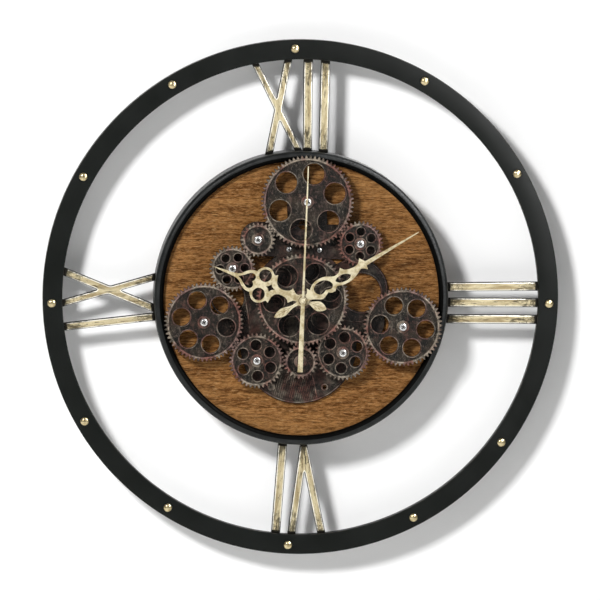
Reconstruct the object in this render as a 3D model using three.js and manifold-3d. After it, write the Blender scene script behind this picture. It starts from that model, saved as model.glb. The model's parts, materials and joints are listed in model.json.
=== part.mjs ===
// A round skeleton wall clock with a turning gear train on a wooden dial.
//
// Dial coordinates, in millimetres: x to the right and y up as seen by a reader of the clock, z out from
// the wall. The wall is z = 0 and the hands turn about the z axis. The exported group stands this up, so
// that the part's own frame has +Z up and the clock faces -Y, with its origin on the hands' axis at half
// the depth.

import * as THREE from "three";
import { mergeVertices } from "three/addons/utils/BufferGeometryUtils.js";
import Module from "manifold-3d";

const wasm = await Module();
wasm.setup();

// ---- Driving dimensions --------------------------------------------------------------------------

const RING = { outer: 300, inner: 277, back: 14, front: 26, sheet: 1.5, segments: 60 };
const DRUM = { outer: 171, wall: 3, inner: 160, bead: 2.2, back: 0, front: 40, segments: 60 };
const BOARD = { radius: 167.4, back: 27, front: 32, segments: 48 };
const PLATE = { back: 32.3, front: 36 };
const BAR = { back: 16, front: 25, width: 10.4, gap: 0.3 };

const MODULE = 1.6; // gear module: pitch diameter over teeth
const TOOTH = { addendum: 1.3, dedendum: 1.8, backlash: 0.55, pressureAngle: 20 };
const LOW_GEAR = { back: 43.5, front: 49.5 };
const HIGH_GEAR = { back: 51.5, front: 57.5 };
const CLEARANCE = 0.3; // along z between a hub and its seat, and between stacked pieces
const RUNNING = 0.08; // radial clearance of a shaft that turns in a bore
const SNUG = 0.04; // radial clearance of a pressed or screwed piece

const AXLE = { radius: 2.5, thread: 1.9, tip: 28, headRadius: 5, headHeight: 2.7 };
const HUB_RADIUS = 6.5;
const BUSHING = { radius: 5, front: 61 };

const HOUR_HAND = { back: 62, front: 63.2, angle: 291.1 };
const MINUTE_HAND = { back: 65.2, front: 66.4, angle: 59.6 };
const SECOND_HAND = { back: 68.4, front: 69.2, angle: 2.3 };
const CAP = { radius: 4.2, edge: 70, shoulder: 71.2, front: 71.5 };
const HOUR_TUBE = { outer: 2.9, back: 20, front: 63.6 };
const MINUTE_TUBE = { outer: 2.15, back: 18, front: 66.8 };
const SECOND_ARBOR = { radius: 1.1, back: 16, front: 69.4 };

const CASE = { width: 56, height: 56, back: 10.7, front: 26.7 };
const KNOB = { x: -15, y: 15, radius: 6.5, back: 5, front: 10.2, stem: 1.5 };
const CELL = { radius: 7.1, length: 50, nubRadius: 2.7, nubLength: 1.2, bay: 7.6, play: 1.8 };
const CASE_CELL_Y = -17.5;
const DRIVE = { width: 60, top: -32, bottom: -106, back: 6.7, front: 26.7, cellY: -96, shaft: 2.5 };

const deg = THREE.MathUtils.degToRad;
const polar = (radius, angle) => [radius * Math.cos(angle), radius * Math.sin(angle)];

// ---- Materials -----------------------------------------------------------------------------------

function finish(color, roughness, metalness) {
  return new THREE.MeshStandardMaterial({ color, roughness, metalness });
}
const MATERIAL = {
  blackMetal: finish(0x2b2d29, 0.55, 0.3),
  gold: finish(0xc8b27c, 0.45, 0.6),
  brass: finish(0xb9a065, 0.3, 0.9),
  wood: finish(0x8d5a2b, 0.6, 0),
  bronze: finish(0x453636, 0.6, 0.35),
  plate: finish(0x2f2b2a, 0.7, 0.3),
  handGold: finish(0xe3d3a4, 0.4, 0.5),
  steel: finish(0xd8d8d8, 0.25, 0.9),
  plastic: finish(0x1b1b1b, 0.5, 0),
  cell: finish(0x4d5a66, 0.4, 0.4),
};

// ---- Solids --------------------------------------------------------------------------------------

// A closed three.js geometry as a manifold-3d solid.
function solidOf(geometry) {
  const bare = new THREE.BufferGeometry().setAttribute("position", geometry.getAttribute("position"));
  if (geometry.index) bare.setIndex(geometry.index);
  const merged = mergeVertices(bare, 1e-4);
  return new wasm.Manifold(
    new wasm.Mesh({
      numProp: 3,
      vertProperties: merged.attributes.position.array,
      triVerts: new Uint32Array(merged.index.array),
    }),
  );
}

function geometryOf(solid) {
  const mesh = solid.getMesh();
  return new THREE.BufferGeometry()
    .setAttribute("position", new THREE.BufferAttribute(mesh.vertProperties, 3))
    .setIndex(new THREE.BufferAttribute(mesh.triVerts, 1));
}

// Points of a regular polygon whose corners lie on a circle.
function circlePoints(x, y, radius, segments) {
  return Array.from({ length: segments }, (_, i) => {
    const [dx, dy] = polar(radius, (2 * Math.PI * i) / segments);
    return new THREE.Vector2(x + dx, y + dy);
  });
}

// The outline points pushed straight out from z = back to z = front.
function prism(points, back, front) {
  const shape = new THREE.Shape(points.map((p) => (Array.isArray(p) ? new THREE.Vector2(...p) : p)));
  const geometry = new THREE.ExtrudeGeometry(shape, { depth: front - back, bevelEnabled: false });
  return solidOf(geometry.translate(0, 0, back));
}

function disc(x, y, radius, back, front, segments = 32) {
  return prism(circlePoints(x, y, radius, segments), back, front);
}

// A round hole's cutter: its flats, not its corners, stand at the given radius, so a shaft clears it.
const bore = (x, y, radius, back, front, segments = 12) =>
  disc(x, y, radius / Math.cos(Math.PI / segments), back, front, segments);

const block = (x0, x1, y0, y1, back, front) => prism([[x0, y0], [x1, y0], [x1, y1], [x0, y1]], back, front);

// A straight bar between two points, with its own width at each end.
function taper([x0, y0], [x1, y1], width0, width1, back, front) {
  const along = new THREE.Vector2(x1 - x0, y1 - y0).normalize();
  const [nx, ny] = [-along.y / 2, along.x / 2];
  const corner = (x, y, w) => [x + nx * w, y + ny * w];
  return prism(
    [corner(x0, y0, -width0), corner(x1, y1, -width1), corner(x1, y1, width1), corner(x0, y0, width0)],
    back,
    front,
  );
}

// A bar with round ends.
function capsule(from, to, radius, back, front, segments) {
  const bar = taper(from, to, 2 * radius, 2 * radius, back, front);
  return join(bar, disc(...from, radius, back, front, segments), disc(...to, radius, back, front, segments));
}

// A (radius, z) profile turned about the z axis; it starts and ends on the axis or closes on itself.
function turned(profile, segments, x = 0, y = 0) {
  const points = profile.map(([radius, z]) => new THREE.Vector2(radius, z));
  const geometry = new THREE.LatheGeometry(points, segments).rotateX(Math.PI / 2).translate(x, y, 0);
  return solidOf(geometry);
}

const join = (first, ...rest) => rest.reduce((sum, solid) => sum.add(solid), first);
const cut = (first, ...rest) => rest.reduce((left, solid) => left.subtract(solid), first);

// ---- The gear train: each gear meshes with the one it names, at a bearing from its centre 

const WHEEL_HOLES = {
  66: { circle: 33.3, radius: 12.3 },
  56: { circle: 26.7, radius: 10.2 },
  39: { circle: 18, radius: 6 },
  32: { circle: 14.3, radius: 4.7 },
}; // six round holes, by the wheel's teeth
const GEARS = {
  centre_gear: { teeth: 66, firstHole: 3 },
  drive_pinion: { teeth: 24, meshes: "centre_gear", bearing: -91.7 },
  lower_left_gear: { teeth: 39, meshes: "drive_pinion", bearing: 179.1, firstHole: 33 },
  lower_right_gear: { teeth: 39, meshes: "drive_pinion", bearing: 10.7, firstHole: 24 },
  left_gear: { teeth: 56, meshes: "lower_left_gear", bearing: 143.7, firstHole: 47 },
  right_gear: { teeth: 56, meshes: "lower_right_gear", bearing: 23.1, firstHole: 53 },
  left_idler: { teeth: 32, meshes: "left_gear", bearing: 62, firstHole: 3 },
  upper_left_idler: { teeth: 24, meshes: "left_idler", bearing: 48.4 },
  top_gear: { teeth: 66, meshes: "upper_left_idler", bearing: 37.1, firstHole: 17 },
  right_idler: { teeth: 32, meshes: "top_gear", bearing: -38.6, firstHole: 28 },
};

// Places every gear at its meshing distance, and turns it so that its teeth stand in its neighbour's gaps.
for (const gear of Object.values(GEARS)) {
  gear.pitchRadius = (MODULE * gear.teeth) / 2;
  if (!gear.meshes) {
    Object.assign(gear, { x: 0, y: 0, phase: 0 });
    continue;
  }
  const driver = GEARS[gear.meshes];
  const bearing = deg(gear.bearing);
  const [dx, dy] = polar(driver.pitchRadius + gear.pitchRadius, bearing);
  gear.x = driver.x + dx;
  gear.y = driver.y + dy;
  gear.phase = bearing + Math.PI + (Math.PI - (driver.phase - bearing) * driver.teeth) / gear.teeth;
}

function gearOutline({ teeth, pitchRadius, phase }) {
  const tip = pitchRadius + TOOTH.addendum;
  const root = pitchRadius - TOOTH.dedendum;
  const lean = Math.tan(deg(TOOTH.pressureAngle));
  const halfPitchWidth = (Math.PI * MODULE - TOOTH.backlash) / 4;
  const halfTipAngle = (halfPitchWidth - TOOTH.addendum * lean) / tip;
  const halfRootAngle = (halfPitchWidth + TOOTH.dedendum * lean) / root;
  return Array.from({ length: teeth }, (_, i) => {
    const middle = phase + (2 * Math.PI * i) / teeth;
    return [
      polar(root, middle - halfRootAngle),
      polar(tip, middle - halfTipAngle),
      polar(tip, middle + halfTipAngle),
      polar(root, middle + halfRootAngle),
    ];
  }).flat();
}

function sixHoles({ circle, radius }, firstHole, { back, front }) {
  return Array.from({ length: 6 }, (_, i) => {
    const [x, y] = polar(circle, deg(firstHole) + (Math.PI * i) / 3);
    return disc(x, y, radius, back - 1, front + 1, 12);
  });
}

// A toothed disc with lightening holes and a hub that reaches back to its seat; made about its own centre.
function gearSolid(gear, level, hubBack, hubRadius, boreRadius) {
  const wheel = prism(gearOutline(gear), level.back, level.front);
  const hub = disc(0, 0, hubRadius, hubBack, level.back + 1, 14);
  const pattern = WHEEL_HOLES[gear.teeth];
  const holes = pattern ? sixHoles(pattern, gear.firstHole, level) : [];
  return cut(join(wheel, hub), bore(0, 0, boreRadius, hubBack - 1, level.front + 1), ...holes);
}

// ---- Frame: outer ring, rivets, numerals, drum ---------------------------------------------------

const RIVET_CIRCLE = 289.5;
const RIVET_ANGLES = [91.3, 60.2, 29.6, -1.7, -36.1, -63, -93, -122.4, -150.4, -179, 150.7, 121];
const RIVET = { shank: 1.4, head: 5, height: 2.9 };

// A rolled channel, open towards the wall, with a hole for every rivet.
function outerRing() {
  const { outer, inner, back, front, sheet, segments } = RING;
  const channel = turned(
    [
      [inner, back],
      [outer, back],
      [outer, front],
      [inner, front],
      [inner, back],
    ],
    segments,
  );
  const hollow = turned(
    [
      [inner + sheet, back - 1],
      [outer - sheet, back - 1],
      [outer - sheet, front - sheet],
      [inner + sheet, front - sheet],
      [inner + sheet, back - 1],
    ],
    segments,
  );
  const holes = RIVET_ANGLES.map((angle) => {
    const [x, y] = polar(RIVET_CIRCLE, deg(angle));
    return bore(x, y, RIVET.shank + SNUG, front - 3, front + 1, 6);
  });
  return cut(channel, hollow, ...holes);
}

function rivet(angle) {
  const [x, y] = polar(RIVET_CIRCLE, deg(angle));
  const seat = RING.front + 0.1;
  const { shank, head, height } = RIVET;
  return turned(
    [
      [0, seat - 2.8],
      [shank, seat - 2.8],
      [shank, seat],
      [head, seat],
      [head * 0.82, seat + height * 0.6],
      [0, seat + height],
    ],
    8,
    x,
    y,
  );
}

// The strokes of the four numerals, each from its inner end at the drum to its outer end at the ring.
const X_OF_XII = [
  { from: [-2.2, 170.2], to: [-52.2, 271.1], width: 7.6 },
  { from: [-36.9, 166], to: [-14.6, 275.3], width: 8.6 },
];
const X_OF_IX = [
  { from: [-173.1, -10.8], to: [-272.8, 30.6], width: 9.2 },
  { from: [-169.4, 24.7], to: [-275, -4.9], width: 8 },
];
const V_OF_VI = [
  { from: [3.5, -176.6], to: [-10.6, -274.1], width: 9 },
  { from: [3.5, -176.6], to: [23.9, -274.7], width: 9.4 },
];
const NUMERAL_PIECES = {
  numeral_xii_x: X_OF_XII,
  numeral_xii_i_left: [{ from: [7.8, 171.3], to: [8.9, 274.7] }],
  numeral_xii_i_right: [{ from: [26.2, 169.7], to: [28.9, 274.2] }],
  numeral_iii_i_upper: [{ from: [171, 11.4], to: [277, 11.6] }],
  numeral_iii_i_middle: [{ from: [171, -6.6], to: [277, -7.6] }],
  numeral_iii_i_lower: [{ from: [171, -25.8], to: [277, -27.2] }],
  numeral_vi_v: V_OF_VI,
  numeral_vi_i: [{ from: [-21.4, -176], to: [-29.2, -274.1] }],
  numeral_ix_x: X_OF_IX,
  numeral_ix_i: [{ from: [-171, -21.7], to: [-271.2, -32.4], width: 9.2 }],
};

// Square bars butted between the drum and the ring, joined where the strokes of one letter cross.
function numeralPiece(strokes) {
  const reach = 0.12; // each bar starts this share longer at both ends, before it is cut to the round walls
  const bars = strokes.map(({ from, to, width = BAR.width }) => {
    const a = from.map((v, i) => v - (to[i] - v) * reach);
    const b = to.map((v, i) => v + (v - from[i]) * reach);
    return taper(a, b, width, width, BAR.back, BAR.front);
  });
  const outside = disc(0, 0, RING.inner - BAR.gap, BAR.back - 1, BAR.front + 1, RING.segments);
  const inside = disc(0, 0, DRUM.outer + BAR.gap, BAR.back - 2, BAR.front + 2, DRUM.segments);
  return join(...bars).intersect(cut(outside, inside));
}

// A deep band with a rounded front bead, whose inner side frames the wooden board.
function drumRing() {
  const { outer, wall, inner, bead, back, front, segments } = DRUM;
  const flangeBack = BOARD.front + CLEARANCE;
  return turned(
    [
      [outer - wall, back],
      [outer, back],
      [outer, front - bead],
      [outer - bead, front],
      [inner + bead, front],
      [inner, front - bead],
      [inner, flangeBack],
      [outer - wall, flangeBack],
      [outer - wall, back],
    ],
    segments,
  );
}

// A gusset across the top of the drum's open back, with the keyhole that the clock hangs on.
function hanger() {
  const { wall, outer } = DRUM;
  const [back, front] = [1, 3];
  const gusset = disc(0, 0, outer - wall - BAR.gap, back, front, DRUM.segments);
  const sides = block(-55, 55, 132, 170, back - 1, front + 1);
  const eye = disc(0, 141, 5, back - 1, front + 1, 16);
  const slot = capsule([0, 141], [0, 151], 2.5, back - 1, front + 1, 12);
  return cut(gusset.intersect(sides), eye, slot);
}

// ---- Dial: board, relief plate and their fasteners -----------------------------------------------

const PLATE_SCREWS = { plate_screw_left: [-14.5, 57.3], plate_screw_right: [21, 56.1] };
const PLATE_SCREW = { shank: 1.3, head: 3, height: 1.9, tip: 28.5 };
const ON_BOARD = ["left_gear", "right_gear"]; // gears whose hubs run on the board itself, clear of the plate
const FIXED_AXLES = Object.keys(GEARS).filter((name) => !["centre_gear", "drive_pinion"].includes(name));

function dialBoard() {
  const { radius, back, front, segments } = BOARD;
  const drill = ({ x, y }, r, sides) => bore(x, y, r, back - 1, front + 1, sides);
  return cut(
    disc(0, 0, radius, back, front, segments),
    drill(GEARS.centre_gear, BUSHING.radius + CLEARANCE, 12),
    drill(GEARS.drive_pinion, DRIVE.shaft + CLEARANCE, 12),
    ...FIXED_AXLES.map((name) => drill(GEARS[name], AXLE.thread + SNUG, 8)),
    ...Object.values(PLATE_SCREWS).map(([x, y]) => drill({ x, y }, PLATE_SCREW.shank + SNUG, 8)),
  );
}

// Overlapping discs and bars make the relief plate's outline; the openings show the wood behind it.
const PLATE_DISCS = [
  { at: [0, 0], radius: 57 }, // behind the centre gear
  { at: [-3.1, -55.2], radius: 67.5 }, // ribbed barrel at the foot
  { at: [63, 8.6], radius: 37.7 }, // right crescent
  { at: [72, -28], radius: 25 },
  { at: [-58, 0], radius: 26 }, // left lobe
  { at: [-76, -36], radius: 23 },
];
const PLATE_OPENINGS = [
  { at: [70, 6.2], radius: 22.4 },
  { at: [-85, 1], radius: 18.5 },
  { at: [1.7, 85], radius: 5 },
];
const PLATE_BOSS_HOLE = [27, -103.7];
const PLATE_WHEEL = { radius: 52, eye: 10.5, holes: { circle: 34, radius: 11.6 }, turn: 15, rise: 2.4 };
const PLATE_LIPS = [
  { at: [63, 8.6], inner: 35.4, outer: 37.4 },
  { at: [70, 6.2], inner: 22.7, outer: 24.4 },
  { at: [-85, 1], inner: 18.8, outer: 20.4 },
]; // raised rims round the openings
const LIP_RISE = 0.9;
const BARREL = { centre: [-3.1, -55.2], radius: 65.6, rise: 1.1 };
const BARREL_RIBS = { count: 13, pitch: 4.2, left: -38, top: -88, length: 40, lean: 8.4, width: 2 };

// Straight ribs that run down the barrel at the plate's foot, leaning a little to the right.
function barrelRibs() {
  const { count, pitch, left, top, length, lean, width } = BARREL_RIBS;
  const [back, front] = [PLATE.front - 1, PLATE.front + BARREL.rise];
  const ribs = Array.from({ length: count }, (_, i) => {
    const x = left + pitch * i;
    return taper([x, top], [x + lean, top - length], width, width, back, front);
  });
  return join(...ribs).intersect(disc(...BARREL.centre, BARREL.radius, back, front));
}

function lip({ at: [x, y], inner, outer }) {
  const [back, front] = [PLATE.front - 1, PLATE.front + LIP_RISE];
  return cut(disc(x, y, outer, back, front, 24), disc(x, y, inner, back - 1, front + 1, 24));
}

// A wheel in relief behind the centre gear, open in the middle for that gear's hub.
function plateWheel() {
  const { radius, eye, holes, turn, rise } = PLATE_WHEEL;
  const level = { back: PLATE.front - 1, front: PLATE.front + rise };
  const wheel = disc(0, 0, radius, level.back, level.front, 40);
  return cut(wheel, disc(0, 0, eye, level.back - 1, level.front + 1, 16), ...sixHoles(holes, turn, level));
}

function gearPlate() {
  const { back, front } = PLATE;
  const at = (name) => [GEARS[name].x, GEARS[name].y];
  const seat = (name, radius) => disc(...at(name), radius, back, front, 20);
  const drill = (x, y, r, sides = 8) => bore(x, y, r, back - 1, front + 4, sides);
  const onPlate = FIXED_AXLES.filter((name) => !ON_BOARD.includes(name));
  const body = join(
    ...PLATE_DISCS.map(({ at: [x, y], radius }) => disc(x, y, radius, back, front, 32)),
    seat("left_idler", 20),
    capsule(at("upper_left_idler"), at("right_idler"), 20, back, front, 20),
    capsule([8, 70], [6.5, 106], 23, back, front, 20),
    plateWheel(),
    barrelRibs(),
    ...PLATE_LIPS.map(lip),
  );
  return cut(
    body,
    ...PLATE_OPENINGS.map(({ at: [x, y], radius }) => drill(x, y, radius, 20)),
    drill(...PLATE_BOSS_HOLE, 2.4),
    drill(...at("centre_gear"), BUSHING.radius + CLEARANCE, 12),
    drill(...at("drive_pinion"), DRIVE.shaft + CLEARANCE, 12),
    ...onPlate.map((name) => drill(...at(name), AXLE.thread + SNUG)),
    ...Object.values(PLATE_SCREWS).map(([x, y]) => drill(x, y, PLATE_SCREW.shank + SNUG)),
  );
}

function plateScrew([x, y]) {
  const { shank, head, height, tip } = PLATE_SCREW;
  const seat = PLATE.front + 0.1;
  const threaded = [[0, tip], [shank, tip], [shank, seat]];
  const domed = [[head, seat], [head * 0.8, seat + height * 0.7], [0, seat + height]];
  return turned([...threaded, ...domed], 10, x, y);
}

// The shoulder screw that a gear turns on: a thread in the board, a smooth shank and a domed head.
function axleScrew(gear, seatFront) {
  const { radius, thread, tip, headRadius, headHeight } = AXLE;
  const neck = LOW_GEAR.front + CLEARANCE;
  return turned(
    [
      [0, tip],
      [thread, tip],
      [thread, seatFront + 0.1],
      [radius, seatFront + 0.1],
      [radius, neck],
      [headRadius, neck],
      [headRadius, neck + headHeight * 0.4],
      [headRadius * 0.65, neck + headHeight * 0.9],
      [0, neck + headHeight],
    ],
    12,
    gear.x,
    gear.y,
  );
}

// ---- Hands: each is drawn pointing up, then turned clockwise to its place ------------------------

// Outlines in millimetres from the hands' axis, x towards the next hour and y towards the tip. A point
// marked SHARP is a corner; the curve runs smoothly through the others.
const SHARP = true;
const HOUR_SIDE = [
  [0, -29.6, SHARP], [2.8, -27], [5.4, -22], [5.5, -17.5], [3.3, -12.5], [2, -9.5], [2.4, -7, SHARP],
  [5.6, -4.6], [7.2, 0], [5.9, 4.2], [4.2, 6.2, SHARP], [4.4, 10], [9, 15.4, SHARP], [6.2, 17], [4.4, 20],
  [3.4, 24], [3.3, 28], [4.8, 32], [8.6, 35], [13, 36.2], [17.3, 36.9, SHARP], [15.8, 40.4], [19.6, 44.6],
  [21.5, 50.5], [19.9, 56], [15.6, 59.8], [12.9, 61.2, SHARP], [12.7, 64], [12, 68], [9.3, 72.4],
  [5.2, 76.8], [2.9, 80.8], [2.1, 86], [1.3, 98], [0.35, 110.2, SHARP],
];
const HOUR_HEART = [
  [0, 79.6, SHARP], [2.9, 74.8], [6.7, 70], [8.9, 66.2], [8.2, 62.2], [5.4, 60.2], [2.2, 60.8],
  [0, 62.6, SHARP],
];
const HOUR_DIAMOND = [[0, 45.6, SHARP], [1.8, 42.4], [4.6, 40.4, SHARP], [1.9, 38.3], [0, 34.8, SHARP]];
const HOUR_RINGS = { x: 11.4, y: 50.5, radius: 7.3 };
const MINUTE_OUTLINE = [
  [0, -38.5, SHARP], [2.6, -35], [4.6, -29], [4.4, -24], [2.4, -17], [1.7, -12], [2.4, -6.2, SHARP], [5, -4],
  [6.4, 0], [5.4, 3.9], [4, 6.5, SHARP], [4.6, 10], [7.2, 15], [10.4, 20.8], [9, 26], [6.9, 30.3, SHARP],
  [9.3, 33.5], [9.8, 38.3, SHARP], [6.9, 41], [6, 43.6], [8.2, 49.5], [8.9, 57], [8.2, 63.5], [5.6, 70.5],
  [3.4, 74.5], [3, 78], [7.3, 83.4, SHARP], [2.6, 84.2, SHARP], [0.5, 155.8, SHARP], [-0.5, 155.8, SHARP],
  [-2.6, 85.2, SHARP], [-9.3, 80.8, SHARP], [-5, 77.4], [-3.4, 72.5], [-4.1, 66], [-6.4, 59.6],
  [-11, 56.2, SHARP], [-6.8, 51.8], [-5.8, 46.8], [-7.4, 42.2], [-10.8, 36], [-12.2, 29], [-11.4, 21.5],
  [-8.6, 15.8], [-6, 13.2, SHARP], [-9.9, 11, SHARP], [-5, 8.4], [-4.4, 6, SHARP], [-5.4, 3.9],
  [-6.4, 0], [-5, -4], [-2.4, -6.2, SHARP], [-1.7, -12], [-2.4, -17], [-4.4, -24], [-4.6, -29], [-2.6, -35],
];
const MINUTE_OPENING = [
  [-4.4, 17.4], [-8.2, 22], [-9, 28], [-7.2, 34], [-2.8, 38.4], [1.6, 39.2], [4.6, 36.6], [4.4, 32.8],
  [3, 29.3, SHARP], [4.8, 25], [4.4, 20.8], [0.8, 17.6],
];
const MINUTE_TEARDROP = [
  [-0.4, 43.8, SHARP], [-2.6, 48], [-2.9, 54], [-0.8, 59.6], [2.6, 63.2, SHARP], [5.2, 60], [5.6, 54],
  [4.4, 48.6], [2, 45.2],
];

// A whole outline from its right side, listed from the tail's tip to the blade's tip.
function bothSides(side) {
  const left = side.filter(([x]) => x > 0).map(([x, ...rest]) => [-x, ...rest]);
  return [...side, ...left.reverse()];
}

// Closed curve through the points, with two straight pieces from each point to the next.
function curve(points) {
  const at = (i) => new THREE.Vector2(...points[(i + points.length) % points.length].slice(0, 2));
  return points.flatMap(([x, y, sharp], i) => {
    const [here, next] = [at(i), at(i + 1)];
    const before = sharp ? here.clone().multiplyScalar(2).sub(next) : at(i - 1);
    const nextIsSharp = points[(i + 1) % points.length][2];
    const after = nextIsSharp ? next.clone().multiplyScalar(2).sub(here) : at(i + 2);
    const half = here.clone().add(next).multiplyScalar(9).sub(before).sub(after).divideScalar(16);
    return [new THREE.Vector2(x, y), half];
  });
}

// A flat hand: its outline, less its openings and its bore.
function hand({ back, front }, outline, openings, boreRadius) {
  const holes = openings.map((points) => prism(anticlockwise(curve(points)), back - 1, front + 1));
  const blade = prism(anticlockwise(curve(outline)), back, front);
  return cut(blade, ...holes, bore(0, 0, boreRadius, back - 1, front + 1));
}

const anticlockwise = (points) => (THREE.ShapeUtils.area(points) < 0 ? points.reverse() : points);

function hourHand() {
  const openings = [bothSides(HOUR_HEART), bothSides(HOUR_DIAMOND)];
  const blade = hand(HOUR_HAND, bothSides(HOUR_SIDE), openings, HOUR_TUBE.outer + SNUG);
  const { x, y, radius } = HOUR_RINGS;
  const { back, front } = HOUR_HAND;
  return cut(blade, ...[x, -x].map((side) => disc(side, y, radius, back - 1, front + 1, 16)));
}

function minuteHand() {
  return hand(MINUTE_HAND, MINUTE_OUTLINE, [MINUTE_OPENING, MINUTE_TEARDROP], MINUTE_TUBE.outer + SNUG);
}

// A needle with a broad counterweight, and the round cap that closes the centre of the dial.
function secondHand() {
  const { back, front } = SECOND_HAND;
  const needle = taper([0, 0], [0, 156.3], 2.6, 1.4, back, front);
  const tail = taper([0, 0], [0, -83.3], 4.2, 6, back, front);
  const edge = [[0, back], [CAP.radius, back], [CAP.radius, CAP.edge]];
  const cap = turned([...edge, [2.6, CAP.shoulder], [0, CAP.front]], 16);
  const socket = bore(0, 0, SECOND_ARBOR.radius + SNUG, back - 1, SECOND_ARBOR.front + 0.3);
  return cut(join(needle, tail, cap), socket);
}

const tube = ({ outer, back, front }, inside) =>
  cut(disc(0, 0, outer, back, front, 12), bore(0, 0, inside + RUNNING, back - 1, front + 1));

const secondArbor = () => disc(0, 0, SECOND_ARBOR.radius, SECOND_ARBOR.back, SECOND_ARBOR.front, 12);

// A hexagon nut on the movement's bushing, which keeps the centre gear on it.
function centreNut() {
  const back = HIGH_GEAR.front + CLEARANCE;
  return cut(disc(0, 0, 8, back, back + 2.4, 6), bore(0, 0, BUSHING.radius + SNUG, back - 1, back + 4));
}

// ---- Movement and gear drive behind the board ----------------------------------------------------

const cellBay = (x0, x1, y, back) => {
  const axis = back + CELL.bay;
  return block(x0, x1, y - CELL.bay, y + CELL.bay, back - 1, axis + CELL.radius + 0.5);
};

// The quartz movement's case, with its cell bay open to the back and the threaded bushing in front.
function movementCase() {
  const { width, height, back, front } = CASE;
  const halfBay = CELL.length / 2 + CELL.play;
  const body = join(
    block(-width / 2, width / 2, -height / 2, height / 2, back, front),
    disc(0, 0, BUSHING.radius, front - 1, BUSHING.front, 16),
  );
  return cut(
    body,
    cellBay(-halfBay, halfBay, CASE_CELL_Y, back),
    bore(0, 0, HOUR_TUBE.outer + RUNNING, SECOND_ARBOR.back - 0.5, BUSHING.front + 1),
    bore(KNOB.x, KNOB.y, KNOB.stem + RUNNING, back - 1, back + 6),
  );
}

function settingKnob() {
  const { x, y, radius, back, front, stem } = KNOB;
  const ridges = Array.from({ length: 24 }, (_, i) => polar(radius - (i % 2) * 0.7, (Math.PI * i) / 12));
  const grip = prism(ridges, back, front).translate([x, y, 0]);
  return join(grip, disc(x, y, stem, front - 1, front + 5.5, 12));
}

// A size AA cell lying along x, with its positive button to the right.
function cell(y, back) {
  const { radius, length, nubRadius, nubLength } = CELL;
  const half = length / 2;
  const can = [[0, -half], [radius, -half], [radius, half - nubLength]];
  const button = [[nubRadius, half - nubLength], [nubRadius, half], [0, half]];
  const solid = turned([...can, ...button], 18);
  return solid.rotate([0, 90, 0]).translate([0, y, back + CELL.bay]);
}

function driveCase() {
  const { width, top, bottom, back, front, cellY, shaft } = DRIVE;
  const { x, y } = GEARS.drive_pinion;
  const halfBay = CELL.length / 2 + CELL.play;
  return cut(
    block(-width / 2, width / 2, bottom, top, back, front),
    cellBay(-halfBay, halfBay, cellY, back),
    bore(x, y, shaft + RUNNING, back + 4, front + 1),
  );
}

function driveShaft() {
  const { x, y } = GEARS.drive_pinion;
  return disc(x, y, DRIVE.shaft, DRIVE.back + 5, HIGH_GEAR.front + 0.8, 14);
}

// ---- Assembly ------------------------------------------------------------------------------------

const clock = new THREE.Group();
clock.rotation.x = Math.PI / 2;
clock.position.y = CAP.front / 2;

function place(name, solid, material, { x = 0, y = 0, turn = 0 } = {}) {
  const mesh = new THREE.Mesh(geometryOf(solid), material);
  mesh.name = name;
  mesh.position.set(x, y, 0);
  mesh.rotation.z = turn;
  clock.add(mesh);
}

place("outer_ring", outerRing(), MATERIAL.blackMetal);
RIVET_ANGLES.forEach((angle, i) => {
  const hour = String(i || 12).padStart(2, "0");
  place(`rivet_${hour}`, rivet(angle), MATERIAL.brass);
});
for (const [name, strokes] of Object.entries(NUMERAL_PIECES)) {
  place(name, numeralPiece(strokes), MATERIAL.gold);
}
place("drum_ring", drumRing(), MATERIAL.blackMetal);
place("hanger", hanger(), MATERIAL.blackMetal);
place("dial_board", dialBoard(), MATERIAL.wood);
place("gear_plate", gearPlate(), MATERIAL.plate);
for (const [name, at] of Object.entries(PLATE_SCREWS)) place(name, plateScrew(at), MATERIAL.steel);

for (const [name, gear] of Object.entries(GEARS)) {
  const seatFront = ON_BOARD.includes(name) ? BOARD.front : PLATE.front;
  const hubBack = seatFront + CLEARANCE;
  if (name === "centre_gear") {
    const wheel = gearSolid(gear, HIGH_GEAR, hubBack, HUB_RADIUS + 2.5, BUSHING.radius + RUNNING);
    place(name, wheel, MATERIAL.bronze, gear);
  } else if (name === "drive_pinion") {
    const tall = { back: LOW_GEAR.back, front: HIGH_GEAR.front };
    place(name, gearSolid(gear, tall, hubBack, HUB_RADIUS, DRIVE.shaft + SNUG), MATERIAL.bronze, gear);
  } else {
    const wheel = gearSolid(gear, LOW_GEAR, hubBack, HUB_RADIUS, AXLE.radius + RUNNING);
    place(name, wheel, MATERIAL.bronze, gear);
    place(`${name}_screw`, axleScrew(gear, seatFront), MATERIAL.steel);
  }
}

place("hour_hand", hourHand(), MATERIAL.handGold, { turn: -deg(HOUR_HAND.angle) });
place("minute_hand", minuteHand(), MATERIAL.handGold, { turn: -deg(MINUTE_HAND.angle) });
place("second_hand", secondHand(), MATERIAL.handGold, { turn: -deg(SECOND_HAND.angle) });
place("hour_tube", tube(HOUR_TUBE, MINUTE_TUBE.outer), MATERIAL.brass);
place("minute_tube", tube(MINUTE_TUBE, SECOND_ARBOR.radius), MATERIAL.brass);
place("second_arbor", secondArbor(), MATERIAL.steel);
place("centre_nut", centreNut(), MATERIAL.brass);
place("movement_case", movementCase(), MATERIAL.plastic);
place("setting_knob", settingKnob(), MATERIAL.plastic);
place("movement_cell", cell(CASE_CELL_Y, CASE.back), MATERIAL.cell);
place("drive_case", driveCase(), MATERIAL.plastic);
place("drive_shaft", driveShaft(), MATERIAL.steel);
place("drive_cell", cell(DRIVE.cellY, DRIVE.back), MATERIAL.cell);

export default clock;
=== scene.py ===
import json
import math

import bmesh
import bpy
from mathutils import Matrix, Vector, geometry


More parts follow.
